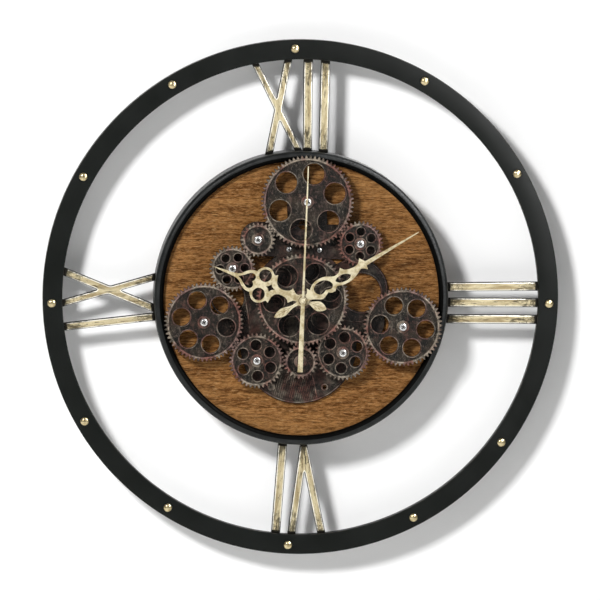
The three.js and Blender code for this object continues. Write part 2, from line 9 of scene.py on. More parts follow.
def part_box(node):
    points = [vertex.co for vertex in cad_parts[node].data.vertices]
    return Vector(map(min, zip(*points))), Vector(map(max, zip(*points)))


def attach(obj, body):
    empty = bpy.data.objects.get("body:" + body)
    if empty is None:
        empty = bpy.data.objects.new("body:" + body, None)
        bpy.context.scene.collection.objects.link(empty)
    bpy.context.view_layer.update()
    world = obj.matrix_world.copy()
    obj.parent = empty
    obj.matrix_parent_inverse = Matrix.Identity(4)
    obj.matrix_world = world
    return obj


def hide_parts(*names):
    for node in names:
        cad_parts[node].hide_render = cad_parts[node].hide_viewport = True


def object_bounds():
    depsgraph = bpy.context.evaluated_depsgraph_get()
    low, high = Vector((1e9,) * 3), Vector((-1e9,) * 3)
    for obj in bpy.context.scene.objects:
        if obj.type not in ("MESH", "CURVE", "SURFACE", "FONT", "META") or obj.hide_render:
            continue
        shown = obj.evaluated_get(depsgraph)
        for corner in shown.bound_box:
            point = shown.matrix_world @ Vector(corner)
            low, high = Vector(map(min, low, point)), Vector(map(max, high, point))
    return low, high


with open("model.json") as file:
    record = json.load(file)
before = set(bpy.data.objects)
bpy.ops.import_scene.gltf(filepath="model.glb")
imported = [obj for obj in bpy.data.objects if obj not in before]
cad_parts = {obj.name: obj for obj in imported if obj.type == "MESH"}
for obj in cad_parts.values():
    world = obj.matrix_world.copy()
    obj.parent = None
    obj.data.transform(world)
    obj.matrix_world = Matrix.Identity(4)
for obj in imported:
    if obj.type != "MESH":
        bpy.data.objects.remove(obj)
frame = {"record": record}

CAD_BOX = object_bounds()
WALL_Y = CAD_BOX[1].y  # the wall plane, which the drum's back rim rests on
RECORD = frame["record"]
BODY_OF = {node: body for body, nodes in RECORD["behaviour"]["bodies"].items() for node in nodes}

# ---- Dial coordinates: millimetres, x right and y up for a reader of the clock, z out from the wall ----
def to_frame(x, y, z):
    return Vector((x / 1000, WALL_Y - z / 1000, y / 1000))


def extent(node):
    """The lowest and highest (x, y, z) of a CAD node in dial coordinates."""
    low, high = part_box(node)
    corners = (low.x, low.z, WALL_Y - high.y), (high.x, high.z, WALL_Y - low.y)
    return [tuple(metres * 1000 for metres in corner) for corner in corners]


def middle(node):
    low, high = extent(node)
    return (low[0] + high[0]) / 2, (low[1] + high[1]) / 2


def depths(node):
    """How far a CAD node's back and front lie from the wall."""
    low, high = extent(node)
    return low[2], high[2]


def axis_of(body):
    """Where the axis that a body turns about meets the dial."""
    joint = next(j for j in RECORD["behaviour"]["joints"] if j["child"] == body)
    return joint["pos_m"][0] * 1000, joint["pos_m"][2] * 1000


def polar(radius, degrees, at=(0, 0)):
    angle = math.radians(degrees)
    return at[0] + radius * math.cos(angle), at[1] + radius * math.sin(angle)


# ---- Building shapes ----
class Shape:
    """Faces in dial coordinates. Each point has a relief value, 0 in the hollows to 1 on the edges, which
    the finishes turn into worn or dry-brushed edges, painted highlights and painted shade.
    """

    def __init__(self):
        self.points = []
        self.relief = []
        self.faces = []

    def add(self, points, faces, relief, slot=0, turned=None):
        start = len(self.points)
        self.points += [turned(*p) for p in points] if turned else points
        self.relief += relief if isinstance(relief, list) else [relief] * len(points)
        self.faces += [([start + i for i in face], slot) for face in faces]

    def mesh(self, name):
        mesh = bpy.data.meshes.new(name)
        mesh.from_pydata([to_frame(*p) for p in self.points], [], [face for face, _ in self.faces])
        relief = mesh.attributes.new("relief", "FLOAT", "POINT")
        relief.data.foreach_set("value", self.relief)
        mesh.polygons.foreach_set("material_index", [slot for _, slot in self.faces])
        work = bmesh.new()
        work.from_mesh(mesh)
        bmesh.ops.recalc_face_normals(work, faces=work.faces)
        work.to_mesh(mesh)
        work.free()
        return mesh


def spread(end, steps):
    """Evenly spaced values from 0 to an end, both included."""
    return [end * k / steps for k in range(steps + 1)]


def lathe(shape, profile, at=(0, 0), segments=48, closed=False, relief=0.3, slot=0, turned=None):
    """Turns a profile of (radius, z) about the dial's normal. An open one starts and ends on the axis."""
    rings, points, values = [], [], []
    for i, (radius, z) in enumerate(profile):
        count = 1 if radius < 1e-6 else segments
        rings.append(list(range(len(points), len(points) + count)))
        value = relief[i] if isinstance(relief, list) else relief
        for k in range(count):
            x, y = polar(radius, 360 * k / segments, at)
            points.append((x, y, z))
            values.append(value)
    faces = []
    pairs = list(zip(rings, rings[1:])) + ([(rings[-1], rings[0])] if closed else [])
    for a, b in pairs:
        for k in range(segments):
            n = (k + 1) % segments
            corners = [a[k % len(a)], a[n % len(a)], b[n % len(b)], b[k % len(b)]]
            face = list(dict.fromkeys(corners))
            if len(face) > 2:
                faces.append(face)
    shape.add(points, faces, values, slot, turned)


def area(loop):
    return sum(x0 * y1 - x1 * y0 for (x0, y0), (x1, y1) in zip(loop, loop[1:] + loop[:1])) / 2


def inset(loop, depth):
    """The loop moved to its left by a depth, with mitred corners."""
    if not depth:
        return loop
    moved = []
    for i, (x, y) in enumerate(loop):
        before, after = Vector(loop[i - 1]), Vector(loop[(i + 1) % len(loop)])
        here = Vector((x, y))
        a, b = (here - before).normalized(), (after - here).normalized()
        na, nb = Vector((-a.y, a.x)), Vector((-b.y, b.x))
        mitre = na + nb
        if mitre.length < 1e-6:
            mitre = na
        mitre.normalize()
        stretch = min(1 / max(mitre.dot(na), 0.4), 2)
        moved.append(tuple(here + mitre * depth * stretch))
    return moved


USUAL_RELIEF = (0.2, 0.8, 0.2)  # of a slab's sides, edges and faces


def slab(shape, loops, back, front, bevel=0.3, rounds=1, edge=0, relief=USUAL_RELIEF, slot=0, front_slot=-1):
    """A flat piece with an outer loop and holes, and rounded edges."""
    side, rim, face = relief
    loops = [loop if (area(loop) > 0) == (i == 0) else loop[::-1] for i, loop in enumerate(loops)]
    arc = spread(math.pi / 2, rounds)
    levels = [(back + bevel * (1 - math.sin(t)), bevel * (1 - math.cos(t)), rim) for t in reversed(arc)]
    levels += [(front - bevel * (1 - math.sin(t)), bevel * (1 - math.cos(t)), rim) for t in arc]
    levels = [(z, i, side if abs(i) < 1e-9 else v) for z, i, v in levels]
    if edge:
        levels = [(back, bevel + edge, face), *levels, (front, bevel + edge, face)]
    points, values, starts, rings = [], [], [], []
    for z, depth, value in levels:
        rings.append([inset(loop, depth) for loop in loops])
        starts.append(len(points))
        for loop in rings[-1]:
            points += [(x, y, z) for x, y in loop]
            values += [value] * len(loop)
    faces = []
    for low, high in zip(starts, starts[1:]):
        offset = 0
        for loop in loops:
            n = len(loop)
            for k in range(n):
                m = (k + 1) % n
                faces.append([low + offset + k, low + offset + m, high + offset + m, high + offset + k])
            offset += n
    shape.add(points, faces, values, slot)
    base = len(shape.points) - len(points)
    for index, start in ((0, starts[0]), (-1, starts[-1])):
        flat = [[Vector((x, y, 0)) for x, y in loop] for loop in rings[index]]
        triangles = geometry.tessellate_polygon(flat)
        chosen = slot if front_slot < 0 or index == 0 else front_slot
        shape.faces += [([base + start + i for i in triangle], chosen) for triangle in triangles]


def ridge(shape, path, width, base, height, relief):
    """A half-round raised line that follows a path on a surface at z = base."""
    across = [(-0.5, -0.15), (-0.42, 0.55), (-0.2, 0.92), (0, 1), (0.2, 0.92), (0.42, 0.55), (0.5, -0.15)]
    n, points, values, faces = len(path), [], [], []
    for i, (x, y) in enumerate(path):
        before, after = Vector(path[max(i - 1, 0)]), Vector(path[min(i + 1, n - 1)])
        along = (after - before).normalized()
        end = 0.25 if i in (0, n - 1) else 1
        for offset, rise in across:
            px, py = x - along.y * offset * width * end, y + along.x * offset * width * end
            points.append((px, py, base + height * rise * (end if rise > 0 else 1)))
            values.append(relief * max(rise, 0))
    m = len(across)
    for i in range(n - 1):
        a, b = i * m, (i + 1) * m
        faces += [[a + k, a + k + 1, b + k + 1, b + k] for k in range(m - 1)]
        faces.append([a, b, b + m - 1, a + m - 1])
    faces += [list(range(m)), list(range((n - 1) * m, n * m))]
    shape.add(points, faces, values)


def circle(radius, at=(0, 0), segments=48):
    return [polar(radius, 360 * k / segments, at) for k in range(segments)]


def arc_path(radius, start, end, at=(0, 0), steps=24):
    return [polar(radius, start + (end - start) * k / steps, at) for k in range(steps + 1)]


def rounded_rectangle(x0, x1, y0, y1, radius, steps=6):
    corners = [(x1 - radius, y1 - radius, 0), (x0 + radius, y1 - radius, 90)]
    corners += [(x0 + radius, y0 + radius, 180), (x1 - radius, y0 + radius, 270)]
    turns = spread(90, steps)
    return [polar(radius, start + turn, (x, y)) for x, y, start in corners for turn in turns]


def smooth_loop(points, steps=5):
    """A closed curve through points (x, y), with a sharp corner at each (x, y, "corner")."""
    n, loop = len(points), []
    sharp = [len(p) > 2 for p in points]
    for i in range(n):
        p1, p2 = Vector(points[i][:2]), Vector(points[(i + 1) % n][:2])
        p0 = p1 - (p2 - p1) * 0.5 if sharp[i] else Vector(points[i - 1][:2])
        p3 = p2 + (p2 - p1) * 0.5 if sharp[(i + 1) % n] else Vector(points[(i + 2) % n][:2])
        for k in range(steps):
            t = k / steps
            a = p1 * 2 + (p2 - p0) * t
            b = (p0 * 2 - p1 * 5 + p2 * 4 - p3) * t * t
            c = (p1 * 3 - p0 - p2 * 3 + p3) * t * t * t
            loop.append(tuple((a + b + c) / 2))
    return loop


def mirrored(half):
    """A whole outline from its right half, listed upwards from the tail's tip to the blade's tip."""
    other = [(-p[0], *p[1:]) for p in reversed(half) if abs(p[0]) > 1e-6]
    return half + other


def clockwise(degrees, at=(0, 0)):
    """Turns a point of a hand drawn pointing up to the hand's place on the dial."""
    c, s = math.cos(math.radians(degrees)), math.sin(math.radians(degrees))
    return lambda x, y: (at[0] + x * c + y * s, at[1] - x * s + y * c)


def place(name, data):
    """Puts a mesh, a lamp or a camera into the scene."""
    piece = bpy.data.objects.new(name, data)
    bpy.context.scene.collection.objects.link(piece)
    return piece


def show(node, shape, materials, sharp=32, details=False):
    """Makes one visible piece that rides on its CAD node's body and, unless only details, stands for it."""
    name = f"{node}_details" if details else f"{node}_look"
    mesh = shape.mesh(name) if isinstance(shape, Shape) else shape
    for material in materials:
        mesh.materials.append(material)
    mesh.shade_smooth()
    mesh.set_sharp_from_angle(angle=math.radians(sharp))
    piece = place(name, mesh)
    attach(piece, BODY_OF[node])
    if not details:
        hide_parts(node)


# ---- Finishes: all procedural, in each piece's own coordinates, in metres ----
class Finish:
    """Builds one material. Sockets are passed along, and a bare number or colour is used as it is."""

    def __init__(self, name):
        self.material = bpy.data.materials.new(name)
        self.material.use_nodes = True
        self.tree = self.material.node_tree
        self.tree.nodes.clear()
        self.position = self.node("ShaderNodeTexCoord").outputs["Object"]

    def node(self, kind, inputs=None, **settings):
        node = self.tree.nodes.new(kind)
        for key, value in settings.items():
            setattr(node, key, value)
        for key, value in (inputs or {}).items():
            if isinstance(value, bpy.types.NodeSocket):
                self.tree.links.new(value, node.inputs[key])
            else:
                node.inputs[key].default_value = value
        return node

    def relief(self):
        return self.node("ShaderNodeAttribute", attribute_name="relief").outputs["Fac"]

    def stretched(self, stretch):
        return self.node("ShaderNodeMapping", {"Vector": self.position, "Scale": stretch}).outputs[0]

    def noise(self, scale, detail=4, stretch=(1, 1, 1), roughness=0.55, distortion=0.0):
        inputs = {"Vector": self.stretched(stretch), "Scale": scale, "Detail": detail}
        inputs |= {"Roughness": roughness, "Distortion": distortion}
        return self.node("ShaderNodeTexNoise", inputs).outputs["Fac"]

    def cells(self, scale):
        inputs = {"Vector": self.stretched((1, 1, 1)), "Scale": scale}
        return self.node("ShaderNodeTexVoronoi", inputs).outputs["Distance"]

    def remap(self, value, low, high, a=0.0, b=1.0):
        inputs = {"Value": value, "From Min": low, "From Max": high, "To Min": a, "To Max": b}
        return self.node("ShaderNodeMapRange", inputs, interpolation_type="SMOOTHSTEP").outputs["Result"]

    def math(self, operation, a, b=0.0):
        return self.node("ShaderNodeMath", {0: a, 1: b}, operation=operation).outputs[0]

    def times(self, a, b):
        return self.math("MULTIPLY", a, b)

    def plus(self, a, b):
        return self.math("ADD", a, b)

    def most(self, a, b):
        return self.math("MAXIMUM", a, b)

    def mix(self, factor, a, b):
        node = self.node("ShaderNodeMix", {0: factor}, data_type="RGBA")
        for index, value in ((6, a), (7, b)):
            if isinstance(value, bpy.types.NodeSocket):
                self.tree.links.new(value, node.inputs[index])
            else:
                node.inputs[index].default_value = (*value, 1)
        return node.outputs[2]

    def radius(self):
        """Distance from the hands' axis, in millimetres."""
        parts = self.node("ShaderNodeSeparateXYZ", {0: self.position})
        squares = [self.times(parts.outputs[i], parts.outputs[i]) for i in (0, 2)]
        return self.times(self.math("SQRT", self.plus(*squares)), 1000.0)

    def radial_noise(self, along, around, detail):
        """Streaks that run out from the hands' axis: along and around are cells per mm and per degree."""
        parts = self.node("ShaderNodeSeparateXYZ", {0: self.position})
        angle = self.math("ARCTAN2", parts.outputs[2], parts.outputs[0])
        degrees = self.times(angle, 180 / math.pi * around)
        vector = self.node("ShaderNodeCombineXYZ", {0: self.times(self.radius(), along), 1: degrees})
        inputs = {"Vector": vector.outputs[0], "Scale": 1.0, "Detail": detail, "Roughness": 0.6}
        return self.node("ShaderNodeTexNoise", inputs).outputs["Fac"]

    def facing(self, side, front):
        """1 on faces turned to the reader of the clock, 0 on the sides."""
        normal = self.node("ShaderNodeTexCoord").outputs["Normal"]
        parts = self.node("ShaderNodeSeparateXYZ", {0: normal})
        return self.remap(self.times(parts.outputs[1], -1.0), side, front)

    def finish(self, colour, roughness, metallic=0.0, height=None, depth=0.0002, strength=0.5, **more):
        inputs = {"Roughness": roughness, "Metallic": metallic, "Specular IOR Level": 0.3}
        inputs["Base Color"] = colour if isinstance(colour, bpy.types.NodeSocket) else (*colour, 1)
        if height is not None:
            bump = self.node("ShaderNodeBump", {"Height": height, "Distance": depth, "Strength": strength})
            inputs["Normal"] = bump.outputs[0]
        inputs |= {key.replace("_", " "): value for key, value in more.items()}
        shader = self.node("ShaderNodeBsdfPrincipled", inputs)
        self.node("ShaderNodeOutputMaterial", {"Surface": shader.outputs[0]})
        return self.material


def black_metal():
    """Black satin paint, brownish where the edges are worn."""
    f = Finish("black_metal")
    patches = f.noise(22, 6)
    grain = f.noise(900, 3)
    base = f.mix(patches, (0.003, 0.004, 0.003), (0.0065, 0.008, 0.007))
    worn = f.times(f.remap(f.relief(), 0.5, 1.0), f.remap(f.noise(160, 6), 0.4, 0.62))
    colour = f.mix(f.times(worn, 0.6), base, (0.075, 0.065, 0.052))
    roughness = f.plus(f.remap(patches, 0.3, 0.7, 0.36, 0.46), f.times(worn, 0.1))
    height = f.plus(grain, f.times(f.noise(260, 3), 1.2))
    return f.finish(colour, roughness, 0.0, height, 0.00007, 0.5, Specular_IOR_Level=0.14)


def hammered_black():
    """Black enamel: dull inside the drum's bead, and hammered and slightly glossy on its outer half. The
    inside is also painted a darker black, as painted shade.
    """
    f = Finish("drum_black")
    outer = f.remap(f.relief(), 0.25, 0.6)
    dimples = f.cells(330)
    patches = f.noise(60, 6)
    charcoal = f.mix(f.remap(patches, 0.35, 0.65), (0.003, 0.0038, 0.0038), (0.0075, 0.009, 0.0088))
    # painted shade: the bead's inner half, inner wall and flange (low relief) get a darker black than the
    # charcoal outer half
    colour = f.mix(outer, (0.0022, 0.0022, 0.0020), charcoal)
    roughness = f.plus(f.remap(patches, 0.3, 0.7, 0.36, 0.5), f.times(outer, -0.04))
    height = f.plus(f.times(dimples, 1.5), f.noise(700, 4))
    gloss = f.remap(outer, 0.0, 1.0, 0.02, 0.3)
    return f.finish(colour, roughness, 0.0, height, 0.00022, 0.6, Specular_IOR_Level=gloss)


def antique_gold():
    """Gold paint on the faces, rubbed along the bars, with black sides, ends and smudges, and a painted
    highlight of pale cream along the bevelled edges.
    """
    f = Finish("antique_gold")
    radius, streaks = f.radius(), f.radial_noise(0.02, 0.55, 4)
    fine = f.radial_noise(0.12, 5.0, 4)
    rub = f.times(f.remap(streaks, 0.36, 0.58, 0.3, 1.0), f.remap(fine, 0.3, 0.7, 0.65, 1.0))
    gold = f.mix(rub, (0.25, 0.175, 0.07), (0.70, 0.61, 0.39))
    # painted highlight: the bevelled edges (relief near 0.85) are painted pale cream
    rim = f.remap(f.relief(), 0.5, 0.85)
    gold = f.mix(f.times(rim, 0.9), gold, (0.93, 0.90, 0.80))
    ends = f.most(f.remap(radius, 176, 205, 1.0, 0), f.remap(radius, 240, 270, 0, 1.0))
    scuffs = f.plus(f.radial_noise(0.07, 1.6, 7), f.times(ends, 0.13))
    smudge = f.times(f.remap(scuffs, 0.53, 0.66), f.remap(f.noise(30, 3), 0.36, 0.56, 0.25, 1.0))
    speck = f.remap(f.plus(f.noise(340, 6, roughness=0.85), f.times(ends, 0.1)), 0.57, 0.66)
    ragged = f.times(f.math("SUBTRACT", f.noise(190, 4), 0.5), 5.0)
    inner = f.remap(f.plus(radius, ragged), 174.0, 176.0, 1.0, 0.0)
    outer = f.remap(f.plus(radius, ragged), 272.0, 274.0)
    dark = f.most(inner, outer)
    dark = f.most(dark, f.math("SUBTRACT", 1.0, f.facing(0.7, 0.99)))
    dark = f.most(dark, f.times(smudge, 0.85))
    dark = f.most(dark, f.times(speck, 0.75))
    colour = f.mix(dark, gold, (0.010, 0.009, 0.007))
    metallic = f.remap(dark, 0.2, 0.8, 0.35, 0.0)
    gloss = f.remap(dark, 0.2, 0.8, 0.3, 0.04)
    roughness = f.plus(f.remap(f.noise(300, 4), 0.3, 0.7, 0.3, 0.46), f.times(dark, 0.2))
    height = f.plus(fine, f.noise(500, 5))
    return f.finish(colour, roughness, metallic, height, 0.0002, 0.35, Specular_IOR_Level=gloss)


def dry_brushed(name, amount=1.0, base=(0.0035, 0.0036, 0.0028), lift=(0.024, 0.018, 0.0125)):
    """Dark cast resin whose raised edges carry reddish, purplish and silvery bronze."""
    f = Finish(name)
    rough = f.noise(520, 6, roughness=0.75)
    body = f.mix(f.remap(f.noise(60, 6, roughness=0.7), 0.38, 0.66), base, lift)
    red, violet, grey = (0.26, 0.115, 0.090), (0.25, 0.155, 0.135), (0.36, 0.30, 0.235)
    tint = f.mix(f.remap(f.noise(24, 3), 0.42, 0.6), red, violet)
    tint = f.mix(f.remap(f.noise(44, 4, (1.3, 1, 0.8)), 0.44, 0.6), tint, grey)
    patchy = f.remap(f.noise(150, 7, roughness=0.7), 0.36, 0.6, 0.15, 1.0)
    edge = f.times(f.remap(f.relief(), 0.3, 1.0), patchy)
    smears = f.times(f.remap(f.noise(80, 8, (1.6, 1, 0.6), 0.85), 0.51, 0.64), 0.27)
    grains = f.times(f.remap(f.noise(300, 6, roughness=0.9), 0.53, 0.64), 0.38)
    brushed = f.most(edge, f.most(smears, grains))
    colour = f.mix(f.times(brushed, amount), body, tint)
    metallic = f.times(brushed, 0.3)
    height = f.plus(rough, f.times(f.cells(260), 0.5))
    roughness = f.remap(rough, 0.3, 0.7, 0.42, 0.65)
    return f.finish(colour, roughness, metallic, height, 0.0004, 0.8, Specular_IOR_Level=0.13)


def pale_gold():
    """Pale lacquered gold, with dark engraved lines and a darker outline."""
    f = Finish("hand_gold")
    gold = f.mix(f.remap(f.noise(95, 7, roughness=0.7), 0.38, 0.6), (0.36, 0.28, 0.14), (0.68, 0.61, 0.42))
    lines = f.remap(f.relief(), 0.45, 0.95)
    colour = f.mix(f.times(lines, 0.85), gold, (0.12, 0.075, 0.03))
    speck = f.times(f.remap(f.noise(380, 5), 0.6, 0.72), 0.45)
    colour = f.mix(speck, colour, (0.22, 0.16, 0.08))
    roughness = f.remap(f.noise(250, 4), 0.3, 0.7, 0.3, 0.44)
    return f.finish(colour, roughness, 0.15, f.noise(700, 4), 0.00006, 0.4)


def bare_metal(name, colour, dull):
    """Polished metal, mottled with a duller colour, with painted shade in its hollows."""
    f = Finish(name)
    scratch = f.noise(900, 3, (1, 1, 12))
    shade = f.mix(f.remap(f.noise(260, 5), 0.4, 0.72), colour, dull)
    # painted shade: hollows with relief near 0, such as a screw head's cross recess, are painted near black
    edge = f.remap(f.relief(), 0.0, 0.12, 1.0, 0.0)
    shade = f.mix(f.times(edge, 0.85), shade, (0.03, 0.025, 0.02))
    return f.finish(shade, f.remap(scratch, 0.3, 0.7, 0.18, 0.34), 1.0, scratch, 0.00003, 0.4)


def oak():
    """Oak veneer with the grain running across the dial."""
    f = Finish("oak")
    fibres = f.noise(700, 5, (0.22, 1, 1.3), 0.8, 0.1)
    streaks = f.noise(210, 7, (0.09, 1, 1.5), 0.75, 0.3)
    bands = f.noise(20, 5, (0.2, 1, 1.5), 0.6, 1.2)
    pores = f.remap(f.noise(640, 4, (0.14, 1, 1.2), 0.7), 0.52, 0.62)
    flecks = f.remap(f.noise(520, 4, (0.2, 1, 1.1), 0.7), 0.55, 0.66)
    tone = f.plus(f.times(fibres, 0.5), f.times(streaks, 0.35))
    tone = f.plus(tone, f.times(bands, 0.15))
    colour = f.mix(f.remap(tone, 0.42, 0.57), (0.080, 0.030, 0.008), (0.310, 0.150, 0.050))
    colour = f.mix(f.remap(bands, 0.5, 0.7, 0.0, 0.3), colour, (0.34, 0.18, 0.065))
    colour = f.mix(f.times(flecks, 0.4), colour, (0.52, 0.33, 0.15))
    colour = f.mix(f.times(pores, 0.6), colour, (0.042, 0.016, 0.005))
    roughness = f.remap(streaks, 0.3, 0.7, 0.5, 0.66)
    height = f.math("SUBTRACT", fibres, f.times(pores, 0.7))
    return f.finish(colour, roughness, 0.0, height, 0.0002, 0.45, Specular_IOR_Level=0.02)


def fibreboard():
    f = Finish("fibreboard")
    colour = f.mix(f.noise(700, 6, roughness=0.7), (0.17, 0.105, 0.06), (0.33, 0.225, 0.135))
    return f.finish(colour, 0.78, 0.0, f.noise(900, 5), 0.0001, 0.6)


def moulded(name, colour, lift=1.6):
    f = Finish(name)
    grain = f.noise(1500, 3)
    shade = f.mix(f.noise(40, 4), colour, [v * lift for v in colour])
    worn = f.times(f.remap(f.relief(), 0.6, 1.0), 0.35)
    shade = f.mix(worn, shade, [min(1, v * 4) for v in colour])
    return f.finish(shade, f.remap(f.noise(120, 4), 0.3, 0.7, 0.38, 0.55), 0.0, grain, 0.00006, 0.6)


BLACK = black_metal()
DRUM_BLACK = hammered_black()
GOLD = antique_gold()
BRASS = bare_metal("brass", (0.62, 0.52, 0.31), (0.36, 0.28, 0.14))
STEEL = bare_metal("steel", (0.86, 0.86, 0.85), (0.62, 0.62, 0.61))
BRONZE = dry_brushed("bronze_resin")
PLATE = dry_brushed("relief_plate", 0.75, (0.003, 0.003, 0.0025), (0.018, 0.013, 0.010))
HANDS = pale_gold()
OAK = oak()
BOARD_BACK = fibreboard()
PLASTIC = moulded("black_plastic", (0.012, 0.012, 0.012))
KNOB = moulded("knob_plastic", (0.03, 0.03, 0.03))
JACKET = moulded("cell_jacket", (0.03, 0.075, 0.13), 1.3)
COPPER = bare_metal("cell_band", (0.75, 0.42, 0.25), (0.5, 0.28, 0.16))


# ---- Ring, rivets, numerals ----
def corner(r, z, radius, start):
    """Profile points of a corner rounded about (r, z), a quarter turn clockwise from an angle in degrees."""
    return [polar(radius, start - turn, (r, z)) for turn in spread(90, 4)]


def outer_ring():
    low, high = extent("outer_ring")
    outer, back, front = high[0], low[2], high[2]
    inner, sheet, rounding = outer - 23, 1.5, 1.1
    shape = Shape()
    profile = [(inner, back)]
    profile += corner(inner + rounding, front - rounding, rounding, 180)
    profile += corner(outer - rounding, front - rounding, rounding, 90)
    profile += [(outer, back), (outer - sheet, back), (outer - sheet, front - sheet)]
    profile += [(inner + sheet, front - sheet), (inner + sheet, back)]
    edge = [0.1, 0.7, 1.0, 0.7, 0.1]
    worn = [0.3, *edge, *edge, 0.3] + [0.2] * 4
    lathe(shape, profile, (0, 0), 288, True, worn)
    show("outer_ring", shape, [BLACK])


def rivet(node):
    at, (back, front) = middle(node), depths(node)
    radius, seat = extent(node)[1][0] - at[0], front - 3
    shape = Shape()
    dome = [polar(1, degrees) for degrees in spread(90, 9)]
    head = [(radius * c, seat + 0.5 + (front - seat - 0.5) * s) for c, s in dome]
    shank = [(0, back), (1.4, back), (1.4, seat), (radius, seat)]
    lathe(shape, [*shank, *head[:-1], (0, front)], at, 32, False, 0.6)
    collar = [(radius * 0.9, seat), (radius + 1.1, seat)]
    collar += [(radius + 0.8, seat + 0.4), (radius * 0.9, seat + 0.4)]
    lathe(shape, collar, at, 32, True, 0.4, 1)
    show(node, shape, [BRASS, BLACK], 50)


STROKES = {  # each stroke's inner end, outer end and width
    "numeral_xii_x": [((-2.2, 170.2), (-52.2, 271.1), 7.6), ((-36.9, 166), (-14.6, 275.3), 8.6)],
    "numeral_xii_i_left": [((7.8, 171.3), (8.9, 274.7), 10.4)],
    "numeral_xii_i_right": [((26.2, 169.7), (28.9, 274.2), 10.4)],
    "numeral_iii_i_upper": [((171, 11.4), (277, 11.6), 10.4)],
    "numeral_iii_i_middle": [((171, -6.6), (277, -7.6), 10.4)],
    "numeral_iii_i_lower": [((171, -25.8), (277, -27.2), 10.4)],
    "numeral_vi_v": [((3.5, -176.6), (-10.6, -274.1), 9), ((3.5, -176.6), (23.9, -274.7), 9.4)],
    "numeral_vi_i": [((-21.4, -176), (-29.2, -274.1), 10.4)],
    "numeral_ix_x": [((-173.1, -10.8), (-272.8, 30.6), 9.2), ((-169.4, 24.7), (-275, -4.9), 8)],
    "numeral_ix_i": [((-171, -21.7), (-271.2, -32.4), 9.2)],
}
RING_INSIDE, DRUM_OUTSIDE = 276.9, 171.1
PAST_DRUM = 50  # far enough along a bar to be between the drum and the ring


class Arm:
    """A straight arm of a letter, from where the letter's strokes meet to the ring or the drum."""

    def __init__(self, meeting, along, width, radius):
        self.along = along
        half = Vector((-along.y, along.x)) * width / 2
        self.right, self.left = meeting - half, meeting + half
        self.right_end, self.left_end = reach(self.right, along, radius), reach(self.left, along, radius)


def reach(point, along, radius):
    """The point where a line crosses a circle about the axis, on the side it runs towards."""
    b, c = point.dot(along), point.length_squared - radius * radius
    far = -b + math.sqrt(b * b - c)
    near = -b - math.sqrt(b * b - c)
    return point + along * (near if along.dot(point) < 0 and radius == DRUM_OUTSIDE else far)


def crossing(p, u, q, v):
    """Where the line through p along u meets the line through q along v."""
    share = (q - p).cross(v) / u.cross(v)
    return p + u * share


def filleted(before, corner, after):
    """A smooth curve that rounds off an inner corner."""
    size = 2.6
    a = corner + (before - corner).normalized() * size
    b = corner + (after - corner).normalized() * size
    return [a * (1 - t) ** 2 + corner * 2 * t * (1 - t) + b * t * t for t in spread(1, 4)]


def letter_outline(strokes):
    """The outline of one straight bar, or of two bars that cross or meet."""
    lines = [(Vector(a), (Vector(b) - Vector(a)).normalized(), width) for a, b, width in strokes]
    if len(lines) == 1:
        start, along, width = lines[0]
        bar = Arm(start + along * PAST_DRUM, along, width, RING_INSIDE)
        inner_ends = [reach(side, -along, DRUM_OUTSIDE) for side in (bar.right, bar.left)]
        return [inner_ends[0], bar.right_end, bar.left_end, inner_ends[1]]
    (p, u, wide_u), (q, v, wide_v) = lines
    meeting = crossing(p, u, q, v)
    arms = [Arm(meeting, u, wide_u, RING_INSIDE), Arm(meeting, v, wide_v, RING_INSIDE)]
    if meeting.length > DRUM_OUTSIDE + 20:  # they cross well outside the drum, so they go on to it
        arms += [Arm(meeting, -u, wide_u, DRUM_OUTSIDE), Arm(meeting, -v, wide_v, DRUM_OUTSIDE)]
    arms.sort(key=lambda arm: math.atan2(arm.along.y, arm.along.x))
    outline = []
    for arm, following in zip(arms, arms[1:] + arms[:1]):
        outline += [arm.right_end, arm.left_end]
        if len(arms) == 2 and arm.along.cross(following.along) < 0:
            for side, along in ((arm.left, arm.along), (following.right, following.along)):
                outline.append(reach(side + along * PAST_DRUM, -along, DRUM_OUTSIDE))
        else:
            inner = crossing(arm.left, arm.along, following.right, following.along)
            outline += filleted(arm.left_end, inner, following.right_end)
    return outline


def numeral(node):
    shape = Shape()
    loop = [tuple(p) for p in letter_outline(STROKES[node])]
    # the edges' relief of 0.85 carries the gold finish's painted highlight
    slab(shape, [loop], *depths(node), 1.5, 4, 0.9, (0.0, 0.85, 0.1))
    show(node, shape, [GOLD], 25)


# ---- Drum, hanger, board ----
def drum():
    low, high = extent("drum_ring")
    outer, back, front = high[0], low[2], high[2]
    wall, inner, flange, steps = 3, outer - 11, front - 7.7, 16
    crest, half, rise = (outer + inner) / 2, (outer - inner) / 2, 4.6
    arc = spread(math.pi, steps)
    bead_arc = [(crest + half * math.cos(t), front - rise + rise * math.sin(t)) for t in arc]
    profile = [(outer - wall, back), (outer, back), *bead_arc, (inner, flange + 0.7), (inner + 0.5, flange)]
    profile += [(outer - wall, flange)]
    # relief 0.8 marks the bead's outer half; 0 marks its inner half, inner wall and flange, which drum_black
    # paints darker as painted shade
    worn = [0.8, 0.8] + [0.8 if k < steps * 0.56 else 0.0 for k in range(steps + 1)] + [0.0, 0.0, 0.2]
    shape = Shape()
    lathe(shape, profile, (0, 0), 240, True, worn)
    show("drum_ring", shape, [DRUM_BLACK], 40)


